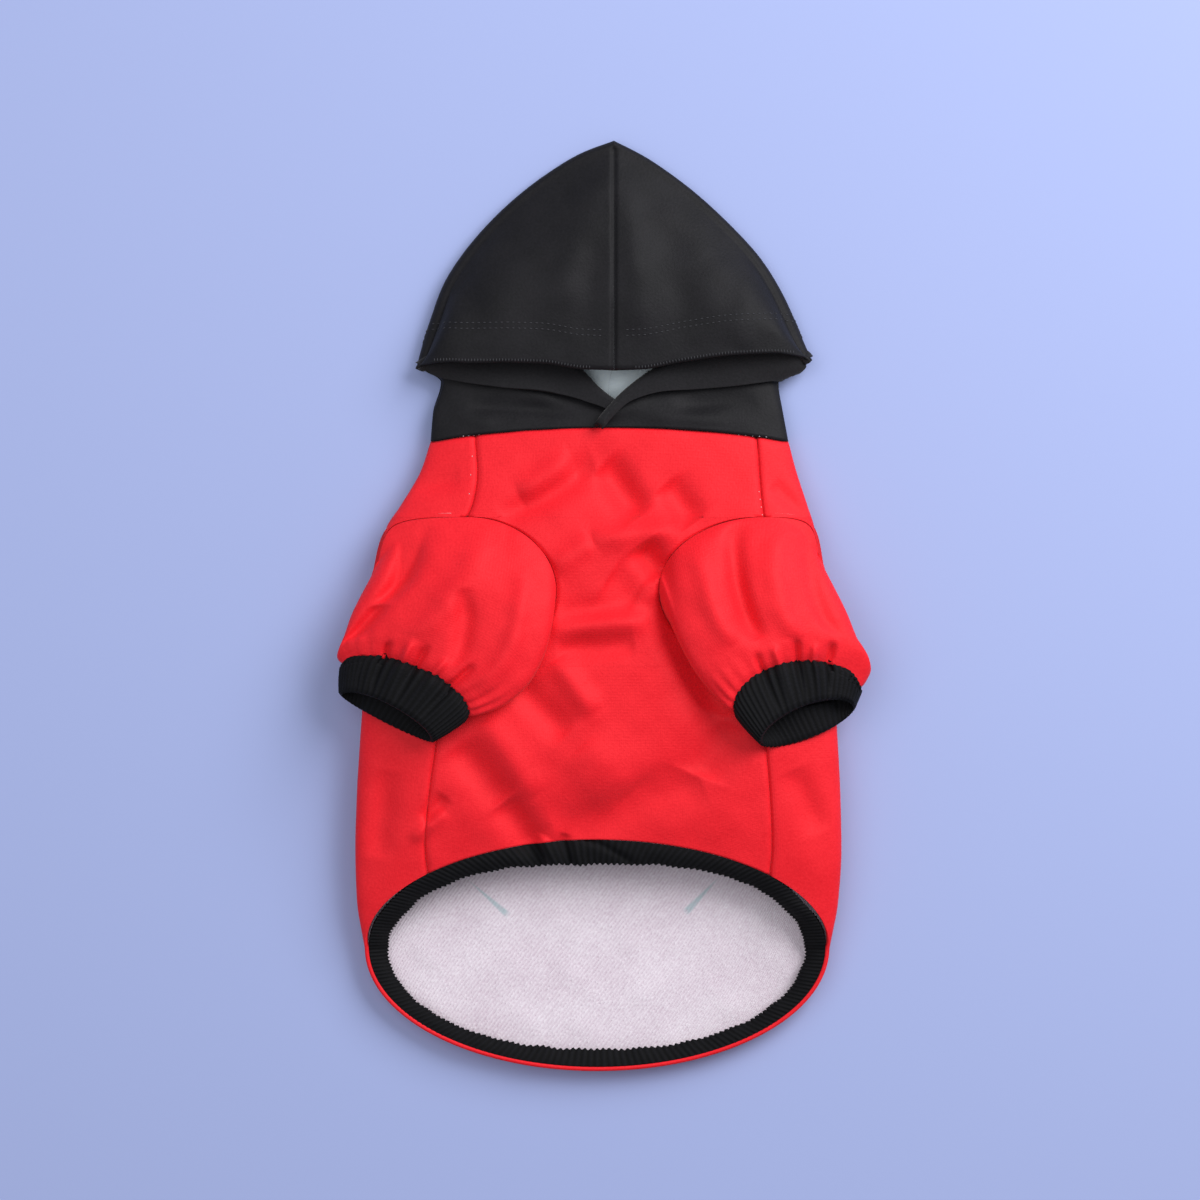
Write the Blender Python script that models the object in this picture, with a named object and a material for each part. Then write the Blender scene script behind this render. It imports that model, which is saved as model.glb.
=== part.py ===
"""Dog hoodie lying on its back, belly side up.

Metres, +Z up. The origin is under the middle of the hoodie, on the surface it lies on, +Y points
to the tip of the hood and +X to the right as seen from above. Every sheet of cloth is a grid
whose points follow the rules below, with a wall given by a Solidify modifier.
"""

import math

import bmesh
import bpy
import numpy as np

# Sizes of the body, flat as it lies
BODY_LENGTH = 0.2844
BELLY_LENGTH = 0.1791
CHEST_WIDTH = 0.2151
CHEST_SHIFT = -0.0023
BODY_HEIGHT = 0.0300
NECK_WIDTH = 0.1616
NECK_SHIFT = 0.0025
NECK_HEIGHT = 0.0170
RIM_HEIGHT = 0.0095

# Sizes of the armholes and the sleeves
ARMHOLE_LENGTH = 0.0670
SLEEVE_LENGTH = 0.0630
SLEEVE_HEIGHT = 0.0180
CUFF_LENGTH = 0.0215
CUFF_HEIGHT = 0.0150
CUFF_RIBS = 48
RIB_DEPTH = 0.0005

# Sizes of the hood
HOOD_LENGTH = 0.1364
HOOD_WIDTH = 0.1782
HOOD_SHIFT = 0.0045
HOOD_HEIGHT = 0.0240
COLLAR_LENGTH = 0.0342
COLLAR_HEIGHT = 0.0120
LAPEL_ROLL = 0.0010

# The band round the hem
BAND_WIDTH = 0.0110

# Cloth and clearances
BODY_WALL = 0.0018
SLEEVE_WALL = 0.0018
HOOD_WALL = 0.0016
CUFF_WALL = 0.0024
BAND_WALL = 0.0024
GAP = 0.0004
LAYER_CLEARANCE = 0.0030

# Places worked out from the sizes
NECK_Y = (BODY_LENGTH - HOOD_LENGTH) / 2
HEM_DOWN = 0.804
BELLY_REACH = HEM_DOWN * BODY_LENGTH - BELLY_LENGTH
BACK_REACH = (1 - HEM_DOWN) * BODY_LENGTH
RIM_SHARE = 0.5 * RIM_HEIGHT / BODY_LENGTH

# How round the upper side of a section is, how square its floor is, and how hard it is pressed flat
TOP_ROUND = 2.5
FLOOR_ROUND = 6.0
FLOOR_PRESS = 1.03
SIDE_SHARE = 0.45
RING_ROUND = 0.55

# Sections of the body: how far down from the neck seam (share of BODY_LENGTH), how far the left
# and right sides have spread from the neck's width to the chest's, how far the height has risen
# from the neck's to the body's, and how far the section slants to the hem
BODY_SECTIONS = {
    "down": (0.0, 0.047, 0.103, 0.138, 0.190, 0.253, 0.348, 0.475, 0.570, 0.649, 0.728, 0.804),
    "left": (0.0, 0.14, 0.43, 0.63, 0.74, 0.83, 0.91, 1.0, 1.05, 1.07, 1.05, 0.94),
    "right": (0.0, 0.16, 0.39, 0.53, 0.63, 0.75, 0.88, 1.0, 1.06, 1.08, 1.02, 0.84),
    "rise": (0.0, 0.2, 0.5, 0.65, 0.85, 0.95, 1.0, 1.0, 0.95, 0.85, 0.7, 0.5),
    "slant": (0.0, 0.0, 0.0, 0.0, 0.0, 0.0, 0.0, 0.0, 0.27, 0.51, 0.76, 1.0),
}

# The two long seams: place across the upper side, from -1 at the left side to 1 at the right
SEAMS = {
    "down": (0.0, 0.122, 0.475, 0.649, 0.804),
    "left": (-0.749, -0.638, -0.678, -0.700, -0.725),
    "right": (0.822, 0.768, 0.695, 0.705, 0.738),
}

# The armholes: middle (share of BODY_LENGTH down), how far in the inner edge lies on the upper
# side, and how far round the side the outer edge lies, in degrees past the side
ARMHOLE_DOWN = 0.239
ARMHOLES = {
    "left": {"inner": -0.186, "past_side": -4.0},
    "right": {"inner": 0.265, "past_side": -4.0},
}

# Rings of each sleeve from the armhole to the cuff: share of the way, outer and inner end across
# (shares of half CHEST_WIDTH) and down (shares of SLEEVE_LENGTH from the armhole's middle), how
# far the upper and under layer bow to the neck and to the hem (shares of SLEEVE_LENGTH), height
# of the outer and inner end (shares of BODY_HEIGHT), thickness (share of SLEEVE_HEIGHT)
SLEEVES = {
    "left": {
        "way": (0.0, 0.3, 0.6, 0.85, 1.0),
        "outer": (-0.962, -1.042, -1.088, -1.113, -1.096),
        "outer_down": (0.0, 0.15, 0.35, 0.46, 0.51),
        "inner": (-0.197, -0.218, -0.293, -0.423, -0.556),
        "inner_down": (0.01, 0.28, 0.60, 0.81, 0.89),
        "bow_up": (0.53, 0.42, 0.36, 0.29, 0.19),
        "bow_down": (0.53, 0.36, 0.19, 0.08, 0.02),
        "outer_z": (0.47, 0.62, 0.70, 0.72, 0.72),
        "inner_z": (1.00, 1.10, 1.17, 1.20, 1.20),
        "thick": (0.60, 0.80, 1.00, 1.00, 0.78),
    },
    "right": {
        "way": (0.0, 0.3, 0.6, 0.85, 1.0),
        "outer": (0.929, 1.000, 1.063, 1.113, 1.075),
        "outer_down": (0.0, 0.15, 0.39, 0.55, 0.69),
        "inner": (0.230, 0.268, 0.360, 0.469, 0.531),
        "inner_down": (-0.09, 0.15, 0.51, 0.75, 0.85),
        "bow_up": (0.49, 0.38, 0.32, 0.32, 0.28),
        "bow_down": (0.50, 0.35, 0.20, 0.10, 0.04),
        "outer_z": (0.47, 0.62, 0.70, 0.72, 0.72),
        "inner_z": (1.00, 1.10, 1.17, 1.20, 1.20),
        "thick": (0.60, 0.80, 1.00, 1.00, 0.78),
    },
}

# Mouth of each cuff: outer and inner end across (shares of half CHEST_WIDTH) and down (shares of
# SLEEVE_LENGTH from the armhole's middle), bow of the upper and under lip (shares of CUFF_LENGTH)
CUFF_MOUTHS = {
    "left": {
        "outer": -1.105, "outer_down": 0.72, "inner": -0.706, "inner_down": 1.06,
        "bow_up": 0.27, "bow_down": -0.06,
    },
    "right": {
        "outer": 1.050, "outer_down": 0.80, "inner": 0.644, "inner_down": 1.07,
        "bow_up": 0.42, "bow_down": 0.31,
    },
}

# Sections of the collar up from the neck seam: shares of COLLAR_LENGTH, half widths as shares of
# half NECK_WIDTH, and how far the height has sunk from the neck's to the collar's
COLLAR_SECTIONS = {
    "up": (0.0, 0.38, 0.79, 1.0, 1.25),
    "left": (1.0, 0.99, 0.95, 1.06, 1.04),
    "right": (1.0, 0.97, 0.94, 1.09, 1.06),
    "sink": (0.0, 0.4, 0.8, 1.0, 1.0),
}

# Stations round each half of the hood from the middle of the back. Up to the corner the sheet
# folds over at the crown's outline: crease out (share of half HOOD_WIDTH) and up (share of
# HOOD_LENGTH), the way the crease faces in degrees, the lip's place (up in COLLAR_LENGTH), and
# the heights of the crease's lower and upper side and of the lip (shares of HOOD_HEIGHT)
CROWN = {
    "left": {
        "round": (0.0, 0.08, 0.16, 0.24, 0.32, 0.38, 0.43, 0.47, 0.5),
        "crease_out": (0.0, 0.162, 0.374, 0.586, 0.768, 0.869, 0.924, 0.970, 1.0),
        "crease_up": (1.0, 0.960, 0.875, 0.759, 0.624, 0.518, 0.422, 0.327, 0.251),
        "facing": (90, 112, 128, 135, 144, 152, 160, 165, 155),
        "edge_out": (0.0, 0.157, 0.359, 0.561, 0.727, 0.828, 0.899, 0.955, 1.0),
        "edge_up": (0.908, 0.921, 1.0, 1.013, 1.013, 1.026, 1.026, 1.013, 1.0),
        "under": (0.0, 0.0, 0.0, 0.0, 0.0, 0.0, 0.0, 0.05, 0.15),
        "over": (0.30, 0.30, 0.30, 0.32, 0.35, 0.38, 0.40, 0.41, 0.42),
        "lip": (1.0, 1.0, 0.98, 0.96, 0.90, 0.82, 0.72, 0.57, 0.42),
    },
    "right": {
        "round": (0.0, 0.08, 0.16, 0.24, 0.32, 0.38, 0.43, 0.47, 0.5),
        "crease_out": (0.0, 0.157, 0.374, 0.571, 0.747, 0.843, 0.909, 0.960, 1.0),
        "crease_up": (1.0, 0.947, 0.848, 0.733, 0.607, 0.508, 0.419, 0.337, 0.274),
        "facing": (90, 112, 128, 135, 144, 152, 160, 165, 155),
        "edge_out": (0.0, 0.141, 0.354, 0.566, 0.712, 0.828, 0.889, 0.949, 1.0),
        "edge_up": (0.908, 0.921, 1.026, 1.105, 1.132, 1.145, 1.132, 1.118, 1.092),
        "under": (0.0, 0.0, 0.0, 0.0, 0.0, 0.0, 0.0, 0.05, 0.15),
        "over": (0.30, 0.30, 0.30, 0.32, 0.35, 0.38, 0.40, 0.41, 0.42),
        "lip": (1.0, 1.0, 0.98, 0.96, 0.90, 0.82, 0.72, 0.57, 0.42),
    },
}

# Past the corner the sheet rolls outwards like a lapel: crease and free edge, both up in shares
# of COLLAR_LENGTH
LAPEL = {
    "left": {
        "round": (0.5, 0.55, 0.6, 0.68, 0.76, 0.84, 0.91, 0.96, 1.0),
        "crease_out": (1.0, 0.960, 0.894, 0.768, 0.576, 0.374, 0.217, 0.136, 0.081),
        "crease_up": (1.0, 1.066, 1.132, 1.171, 1.171, 1.105, 0.974, 0.684, 0.46),
        "facing": (155, 125, 110, 95, 88, 75, 50, 38, 32),
        "edge_out": (1.0, 0.919, 0.833, 0.717, 0.550, 0.348, 0.207, 0.146, 0.111),
        "edge_up": (1.0, 0.908, 0.816, 0.75, 0.684, 0.618, 0.526, 0.421, 0.35),
    },
    "right": {
        "round": (0.5, 0.55, 0.6, 0.68, 0.76, 0.84, 0.91, 0.96, 1.0),
        "crease_out": (1.0, 0.970, 0.904, 0.778, 0.596, 0.384, 0.217, 0.08, 0.015),
        "crease_up": (1.092, 1.171, 1.224, 1.237, 1.211, 1.132, 0.934, 0.645, 0.44),
        "facing": (155, 125, 110, 95, 88, 75, 50, 38, 32),
        "edge_out": (1.0, 0.955, 0.889, 0.763, 0.586, 0.394, 0.232, 0.066, -0.02),
        "edge_up": (1.092, 0.974, 0.868, 0.776, 0.711, 0.658, 0.625, 0.461, 0.25),
    },
}
FRONT_ANGLE = {"left": 97.0, "right": 94.0}

# The band round the hem, by the angle round it from the right side: how steeply it dips from the
# cloth's edge, in degrees, and its width as a share of BAND_WIDTH
BAND = {
    "angle": (0, 25, 60, 90, 120, 155, 180, 215, 270, 325, 360),
    "dip": (28, 24, 12, 8, 12, 24, 28, 18, 28, 18, 28),
    "wide": (0.85, 0.95, 1.0, 1.0, 1.0, 0.95, 0.85, 0.78, 0.74, 0.78, 0.85),
}

# Folds of the belly: both ends across (shares of half CHEST_WIDTH) and down (shares of
# BODY_LENGTH), half width (share of CHEST_WIDTH) and rise (share of BODY_HEIGHT)
FOLDS = (
    {"from": (-0.02, 0.03), "to": (0.15, 0.12), "wide": 0.040, "rise": -0.11},
    {"from": (-0.43, 0.125), "to": (-0.02, 0.045), "wide": 0.030, "rise": -0.07},
    {"from": (-0.35, 0.08), "to": (-0.13, 0.035), "wide": 0.030, "rise": 0.05},
    {"from": (0.26, 0.07), "to": (0.38, 0.13), "wide": 0.035, "rise": -0.08},
    {"from": (-0.05, 0.165), "to": (0.32, 0.145), "wide": 0.030, "rise": 0.08},
    {"from": (0.15, 0.16), "to": (0.25, 0.21), "wide": 0.035, "rise": -0.10},
    {"from": (-0.16, 0.275), "to": (0.19, 0.268), "wide": 0.032, "rise": -0.06},
    {"from": (-0.22, 0.305), "to": (0.19, 0.285), "wide": 0.030, "rise": 0.06},
    {"from": (-0.20, 0.325), "to": (0.13, 0.318), "wide": 0.032, "rise": -0.05},
    {"from": (-0.37, 0.39), "to": (-0.15, 0.465), "wide": 0.035, "rise": -0.07},
    {"from": (-0.61, 0.48), "to": (-0.30, 0.63), "wide": 0.045, "rise": -0.10},
    {"from": (0.25, 0.30), "to": (0.58, 0.48), "wide": 0.050, "rise": -0.08},
    {"from": (0.50, 0.50), "to": (-0.20, 0.60), "wide": 0.060, "rise": -0.06},
)

# Creases of the sleeves' upper layer: ends as share of the way from the armhole to the cuff and
# share across from the outer to the inner side, half width across, rise (share of SLEEVE_HEIGHT)
SLEEVE_FOLDS = {
    "left": (
        {"from": (0.0, 0.50), "to": (0.85, 0.12), "wide": 0.09, "rise": -0.16},
        {"from": (0.1, 0.72), "to": (0.85, 0.45), "wide": 0.12, "rise": 0.10},
        {"from": (0.95, 0.30), "to": (0.70, 0.33), "wide": 0.05, "rise": -0.10},
        {"from": (0.95, 0.62), "to": (0.70, 0.60), "wide": 0.05, "rise": -0.10},
    ),
    "right": (
        {"from": (0.05, 0.62), "to": (0.80, 0.68), "wide": 0.10, "rise": -0.16},
        {"from": (0.1, 0.36), "to": (0.80, 0.44), "wide": 0.10, "rise": 0.10},
        {"from": (0.95, 0.30), "to": (0.75, 0.28), "wide": 0.05, "rise": -0.10},
        {"from": (0.95, 0.55), "to": (0.75, 0.52), "wide": 0.05, "rise": -0.08},
    ),
}

# How finely each sheet is divided
ARM_STEPS = 12
BELLY_COLUMNS = 18
BACK_COLUMNS = 32
SLEEVE_ROWS = 8
BAND_COLUMNS = 64
HOOD_STATIONS = (
    0, 0.06, 0.12, 0.18, 0.24, 0.30, 0.36, 0.41, 0.45, 0.48, 0.5,
    0.52, 0.55, 0.60, 0.66, 0.73, 0.80, 0.87, 0.93, 0.97, 1,
)
HOOD_LOWER_ROWS = 5
HOOD_CREASE_ROWS = 4
HOOD_UPPER_ROWS = 5

# Colours of the cloth
RED = (0.72, 0.012, 0.018, 1.0)
BLACK = (0.014, 0.014, 0.017, 1.0)


def smooth_step(value, low, high):
    """0 below low, 1 above high, and a soft ramp between them."""
    share = np.clip((value - low) / (high - low), 0.0, 1.0)
    return share * share * (3 - 2 * share)


def follow(table, key, column, at):
    """A table's column read at places between its rows, on a curve that never overshoots."""
    x = np.array(table[key], float)
    y = np.array(table[column], float)
    slopes = np.diff(y) / np.diff(x)
    product = slopes[:-1] * slopes[1:]
    total = slopes[:-1] + slopes[1:]
    inner = np.where(product > 0, 2 * product / np.where(total == 0, 1, total), 0.0)
    tangents = np.concatenate(([slopes[0]], inner, [slopes[-1]]))
    at = np.clip(at, x[0], x[-1])
    row = np.clip(np.searchsorted(x, at, side="right") - 1, 0, len(x) - 2)
    step = x[row + 1] - x[row]
    t = (at - x[row]) / step
    rising = y[row] * (1 + 2 * t) * (1 - t) ** 2 + y[row + 1] * t * t * (3 - 2 * t)
    bending = tangents[row] * t * (1 - t) ** 2 - tangents[row + 1] * t * t * (1 - t)
    return rising + bending * step


def fold_height(folds, first, second, aspect):
    """Rise of all folds at a place. Each fold is a soft ridge or valley along a line."""
    rise = np.zeros(np.shape(first))
    for fold in folds:
        start = np.array(fold["from"], float)
        line = np.array(fold["to"], float) - start
        line[1] *= aspect
        way_x = first - start[0]
        way_y = (second - start[1]) * aspect
        along = np.clip((way_x * line[0] + way_y * line[1]) / (line @ line), 0.0, 1.0)
        off = np.hypot(way_x - along * line[0], way_y - along * line[1])
        rise = rise + fold["rise"] * np.exp(-((off / fold["wide"]) ** 2))
    return rise


def sides(down):
    """How far the body reaches left and right of the middle line."""
    neck = NECK_WIDTH / 2
    chest = CHEST_WIDTH / 2
    left = follow(BODY_SECTIONS, "down", "left", down)
    right = follow(BODY_SECTIONS, "down", "right", down)
    reach_left = (neck - NECK_SHIFT) * (1 - left) + (chest - CHEST_SHIFT) * left
    reach_right = (neck + NECK_SHIFT) * (1 - right) + (chest + CHEST_SHIFT) * right
    return reach_left, reach_right


def upper_share(across):
    """Height of a section's upper side above its sides, as a share, 1 in the middle."""
    return (1 - np.clip(np.abs(across), 0, 1) ** TOP_ROUND) ** (1 / TOP_ROUND)


def floor_share(across):
    """How far a section's floor stands above the ground, as a share, 1 at the sides."""
    full = (1 - np.clip(np.abs(across), 0, 1) ** FLOOR_ROUND) ** (1 / FLOOR_ROUND)
    return np.clip(1 - FLOOR_PRESS * full, 0, 1)


def belly_folds(x, y):
    """Height that the belly's folds add at a place seen from above."""
    across = x / (CHEST_WIDTH / 2)
    down = (NECK_Y - y) / BODY_LENGTH
    aspect = 2 * BODY_LENGTH / CHEST_WIDTH
    folds = [dict(fold, wide=2 * fold["wide"]) for fold in FOLDS]
    return BODY_HEIGHT * fold_height(folds, across, down, aspect)


def body_point(angle, down):
    """A point of the body's outer face: angle round a section (90 is the middle of the belly,
    180 the left side, 270 the middle of the back) and how far down the section lies."""
    cosine = np.cos(np.radians(angle))
    sine = np.sin(np.radians(angle))
    left, right = sides(down)
    x = (right - left) / 2 + (right + left) / 2 * cosine
    reach = np.where(sine > 0, BELLY_REACH, BACK_REACH)
    slant = follow(BODY_SECTIONS, "down", "slant", down)
    y = NECK_Y - down * BODY_LENGTH + slant * reach * sine
    rise = follow(BODY_SECTIONS, "down", "rise", down)
    top = NECK_HEIGHT + (BODY_HEIGHT - NECK_HEIGHT) * rise
    side = SIDE_SHARE * top
    curl = np.clip((down - HEM_DOWN + RIM_SHARE) / RIM_SHARE, 0, 1)
    floor = RIM_HEIGHT * (1 - np.sqrt(1 - curl * curl))
    folds = belly_folds(x, y) * smooth_step(sine, 0.05, 0.5)
    upper = side + (top - side) * upper_share(cosine) + folds
    lower = floor + np.maximum(side - floor, 0) * floor_share(cosine)
    return x, y, np.where(sine > 0, upper, lower)


def belly_top(x, y):
    """Height of the body's upper side at a place above the slanted end, with some room beside
    its sides, or far down past them."""
    down = (NECK_Y - y) / BODY_LENGTH
    left, right = sides(down)
    across = (x - (right - left) / 2) / ((right + left) / 2 + LAYER_CLEARANCE)
    inside = np.abs(across) < 1
    angle = np.degrees(np.arccos(np.clip(across, -1, 1)))
    height = body_point(angle, np.clip(down, 0, 0.475))[2]
    return np.where(inside, height, -1.0)


def seam_angle(side, down):
    """Angle of a long seam round the section."""
    return np.degrees(np.arccos(follow(SEAMS, "down", side, down)))


def armhole_edges(side, down, inset=0.0):
    """Angles of the armhole's inner and outer edge at a row, or the seam's above and below it."""
    seam = seam_angle(side, down)
    half = ARMHOLE_LENGTH / 2 / BODY_LENGTH - inset / BODY_LENGTH
    away = np.clip(np.abs(down - ARMHOLE_DOWN) / half, 0, 1)
    open_share = np.sqrt(1 - away * away)
    inset_share = 1 - 2 * inset / ARMHOLE_LENGTH
    inner = follow(SEAMS, "down", side, down)
    inner = inner + (ARMHOLES[side]["inner"] - inner) * open_share * inset_share
    past = ARMHOLES[side]["past_side"]
    outermost = 180 + past if side == "left" else -past
    bulge = 1 - (1 - open_share * inset_share) ** 2.2
    outer = seam + (outermost - seam) * bulge
    return np.degrees(np.arccos(inner)), outer


def armhole_loop(side, around, inset):
    """Points of the armhole's edge: around is 0 at its inner end, 90 at its end to the neck."""
    sine = np.sin(np.radians(around))
    half = ARMHOLE_LENGTH / 2 / BODY_LENGTH - inset / BODY_LENGTH
    down = ARMHOLE_DOWN - half * sine
    inner, outer = armhole_edges(side, down, inset)
    angle = np.where(np.cos(np.radians(around)) >= 0, inner, outer)
    return body_point(angle, down)


def body_rows(rim_rows):
    """How far down each row of the body's panels lies."""
    half = ARMHOLE_LENGTH / 2 / BODY_LENGTH
    top = ARMHOLE_DOWN - half
    bottom = ARMHOLE_DOWN + half
    above = [top * k / 4 for k in range(4)]
    steps = [math.radians(-90 + 180 * k / ARM_STEPS) for k in range(ARM_STEPS + 1)]
    beside = [ARMHOLE_DOWN + half * math.sin(step) for step in steps]
    rim = HEM_DOWN - RIM_SHARE
    last = rim if rim_rows else HEM_DOWN
    below = [bottom + (last - bottom) * k / 8 for k in range(1, 9)]
    curl = [rim + RIM_SHARE * math.sin(math.radians(30 * k)) for k in range(1, 4)]
    return above + beside + below + (curl if rim_rows else [])


def at_rows(values, share):
    """Values of a list read at shares of its length."""
    return np.interp(share * (len(values) - 1), np.arange(len(values)), values)


def belly_shape(across, along):
    down = at_rows(body_rows(False), along)
    left = armhole_edges("left", down)[0]
    right = armhole_edges("right", down)[0]
    width = sum(sides(down)) / 2
    seam_gap = np.degrees(GAP / 2 / width) * 1.4
    left_share = np.cos(np.radians(left - seam_gap))
    right_share = np.cos(np.radians(right + seam_gap))
    place = left_share + (right_share - left_share) * across
    return body_point(np.degrees(np.arccos(place)), down)


def back_shape(across, along):
    down = at_rows(body_rows(True), along)
    left = armhole_edges("left", down)[1]
    right = armhole_edges("right", down)[1]
    width = sum(sides(down)) / 2
    seam_gap = np.degrees(GAP / 2 / width) * 1.4
    angle = left + seam_gap + (360 + right - seam_gap - left - seam_gap) * across
    return body_point(angle, down)


def ring_point(ends, around, bows, thick):
    """A point of a flattened ring between its outer and inner end, each (x, y, z)."""
    outer, inner = ends
    cosine = np.cos(np.radians(around))
    sine = np.sin(np.radians(around))
    middle = [(a + b) / 2 for a, b in zip(outer, inner)]
    half = [(b - a) / 2 for a, b in zip(outer, inner)]
    length = np.hypot(half[0], half[1])
    across = np.where(half[0] < 0, -1.0, 1.0) / length
    up_x = -half[1] * across
    up_y = half[0] * across
    bow = np.where(sine > 0, bows[0], -bows[1]) * np.abs(sine)
    x = middle[0] + half[0] * cosine + up_x * bow
    y = middle[1] + half[1] * cosine + up_y * bow
    z = middle[2] + half[2] * cosine + thick / 2 * np.sign(sine) * np.abs(sine) ** RING_ROUND
    return x, y, z


def sleeve_ring(side, way, around):
    """A point of a sleeve's outer face, at a share of the way from its armhole to its cuff."""
    table = SLEEVES[side]
    half = CHEST_WIDTH / 2
    middle = NECK_Y - ARMHOLE_DOWN * BODY_LENGTH

    def read(column):
        return follow(table, "way", column, way)

    outer = (
        read("outer") * half,
        middle - read("outer_down") * SLEEVE_LENGTH,
        read("outer_z") * BODY_HEIGHT,
    )
    inner = (
        read("inner") * half,
        middle - read("inner_down") * SLEEVE_LENGTH,
        read("inner_z") * BODY_HEIGHT,
    )
    bows = (read("bow_up") * SLEEVE_LENGTH, read("bow_down") * SLEEVE_LENGTH)
    x, y, z = ring_point((outer, inner), around, bows, read("thick") * SLEEVE_HEIGHT)
    sine = np.sin(np.radians(around))
    across = (1 + np.cos(np.radians(around))) / 2
    crease = SLEEVE_HEIGHT * fold_height(SLEEVE_FOLDS[side], way, across, 1.0)
    z = z + crease * smooth_step(sine, 0.0, 0.4) * smooth_step(way, 0.05, 0.25)
    return x, y, z


def clear_of_belly(x, y, z, clearance):
    """The height, raised where needed to stay above the body."""
    return np.maximum(z, belly_top(x, y) + clearance)


def sleeve_point(side, way, around):
    """A sleeve's outer face: it leaves the armhole's edge and settles into its own rings."""
    hole = armhole_loop(side, around, 2 * GAP)
    ring = sleeve_ring(side, way, around)
    settled = smooth_step(way, 0.0, 0.45)
    x, y, z = [a * (1 - settled) + b * settled for a, b in zip(hole, ring)]
    sine = np.sin(np.radians(around))
    under = smooth_step(-sine, -0.2, 0.2)
    z = z + under * 1.5 * GAP
    clearance = (2 + 4 * smooth_step(way, 0.0, 0.3)) * GAP
    raised = clear_of_belly(x, y, z, clearance)
    raised = np.where(way > 0, raised, z)
    return x, y, raised


def sleeve_shape(side):
    def shape(across, along):
        way = along * along * (1.0 - 0.5 * along) * 0.6 + along * 0.7
        return sleeve_point(side, way, -90 + 360 * across)

    return shape


def sleeve_end(side, around):
    """The sleeve's end as it is built, with straight edges between its points."""
    step = 180 / ARM_STEPS
    before = np.floor(around / step + 1e-6) * step
    share = (around - before) / step
    ends = np.ones(np.shape(around))
    first = sleeve_point(side, ends, before)
    second = sleeve_point(side, ends, before + step)
    return [a * (1 - share) + b * share for a, b in zip(first, second)]


def cuff_ring(side, share, around):
    """A cuff's outer face without its ribs, from the sleeve's end to its mouth."""
    end = sleeve_end(side, around)
    mouth = CUFF_MOUTHS[side]
    table = SLEEVES[side]
    half = CHEST_WIDTH / 2
    middle = NECK_Y - ARMHOLE_DOWN * BODY_LENGTH
    outer = (
        mouth["outer"] * half,
        middle - mouth["outer_down"] * SLEEVE_LENGTH,
        table["outer_z"][-1] * BODY_HEIGHT,
    )
    inner = (
        mouth["inner"] * half,
        middle - mouth["inner_down"] * SLEEVE_LENGTH,
        table["inner_z"][-1] * BODY_HEIGHT,
    )
    bows = (mouth["bow_up"] * CUFF_LENGTH, mouth["bow_down"] * CUFF_LENGTH)
    lip = ring_point((outer, inner), around, bows, CUFF_HEIGHT)
    way = [b - a for a, b in zip(end, lip)]
    length = np.sqrt(sum(part * part for part in way))
    start = 3.5 * GAP / length
    reach = start + (1 - start) * share
    x, y, z = [a + part * reach for a, part in zip(end, way)]
    return x, y, np.where(share > 0, clear_of_belly(x, y, z, 6 * GAP), z)


def cuff_shape(side):
    def shape(across, along):
        x, y, z = cuff_ring(side, along, 360 * across)
        rib = np.where(np.round(across * 2 * CUFF_RIBS) % 2 == 0, 1.0, -1.0)
        middle_x, middle_y, middle_z = (np.mean(part) for part in (x, y, z))
        out = np.stack((x - middle_x, y - middle_y, 3 * (z - middle_z)))
        out = out / np.sqrt((out * out).sum(axis=0))
        lift = rib * RIB_DEPTH / 2 * along
        return x + out[0] * lift, y + out[1] * lift, z + out[2] * lift

    return shape


def band_shape(across, along):
    """The hem band: it goes on from the belly's edge and lies inside the back's rim."""
    angle = 360 * across
    x, y, z = body_point(angle, np.full(np.shape(angle), HEM_DOWN))
    left, right = sides(np.array(HEM_DOWN))
    middle_x = (right - left) / 2
    middle_y = NECK_Y - HEM_DOWN * BODY_LENGTH
    in_x = middle_x - x
    in_y = middle_y - y
    length = np.hypot(in_x, in_y)
    in_x = in_x / length
    in_y = in_y / length
    back = 1 - smooth_step(np.sin(np.radians(angle)), 0.35, 0.75)
    dip = np.radians(follow(BAND, "angle", "dip", angle))
    wide = BAND_WIDTH * follow(BAND, "angle", "wide", angle)
    start = 2.5 * GAP + back * (BODY_WALL + 2 * GAP + BAND_WALL * np.sin(dip))
    reach = start + along * wide * np.cos(dip)
    z = z - back * GAP - along * wide * np.sin(dip)
    return x + in_x * reach, y + in_y * reach, z


def collar(up):
    """Half widths left and right of the hood's collar, and its height, up from the neck seam."""
    half = NECK_WIDTH / 2
    left = follow(COLLAR_SECTIONS, "up", "left", up) * half - NECK_SHIFT
    right = follow(COLLAR_SECTIONS, "up", "right", up) * half + NECK_SHIFT
    sink = follow(COLLAR_SECTIONS, "up", "sink", up)
    return left, right, NECK_HEIGHT + (COLLAR_HEIGHT - NECK_HEIGHT) * sink


def collar_place(x, y):
    """Place across the collar's section, from -1 to 1, of a point seen from above."""
    left, right, _ = collar((y - NECK_Y) / COLLAR_LENGTH)
    return np.clip((x - (right - left) / 2) / ((right + left) / 2), -1, 1)


def collar_top(x, y):
    """Height of the collar's front at a place seen from above."""
    top = collar((y - NECK_Y) / COLLAR_LENGTH)[2]
    side = SIDE_SHARE * top
    return side + (top - side) * upper_share(collar_place(x, y))


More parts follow.
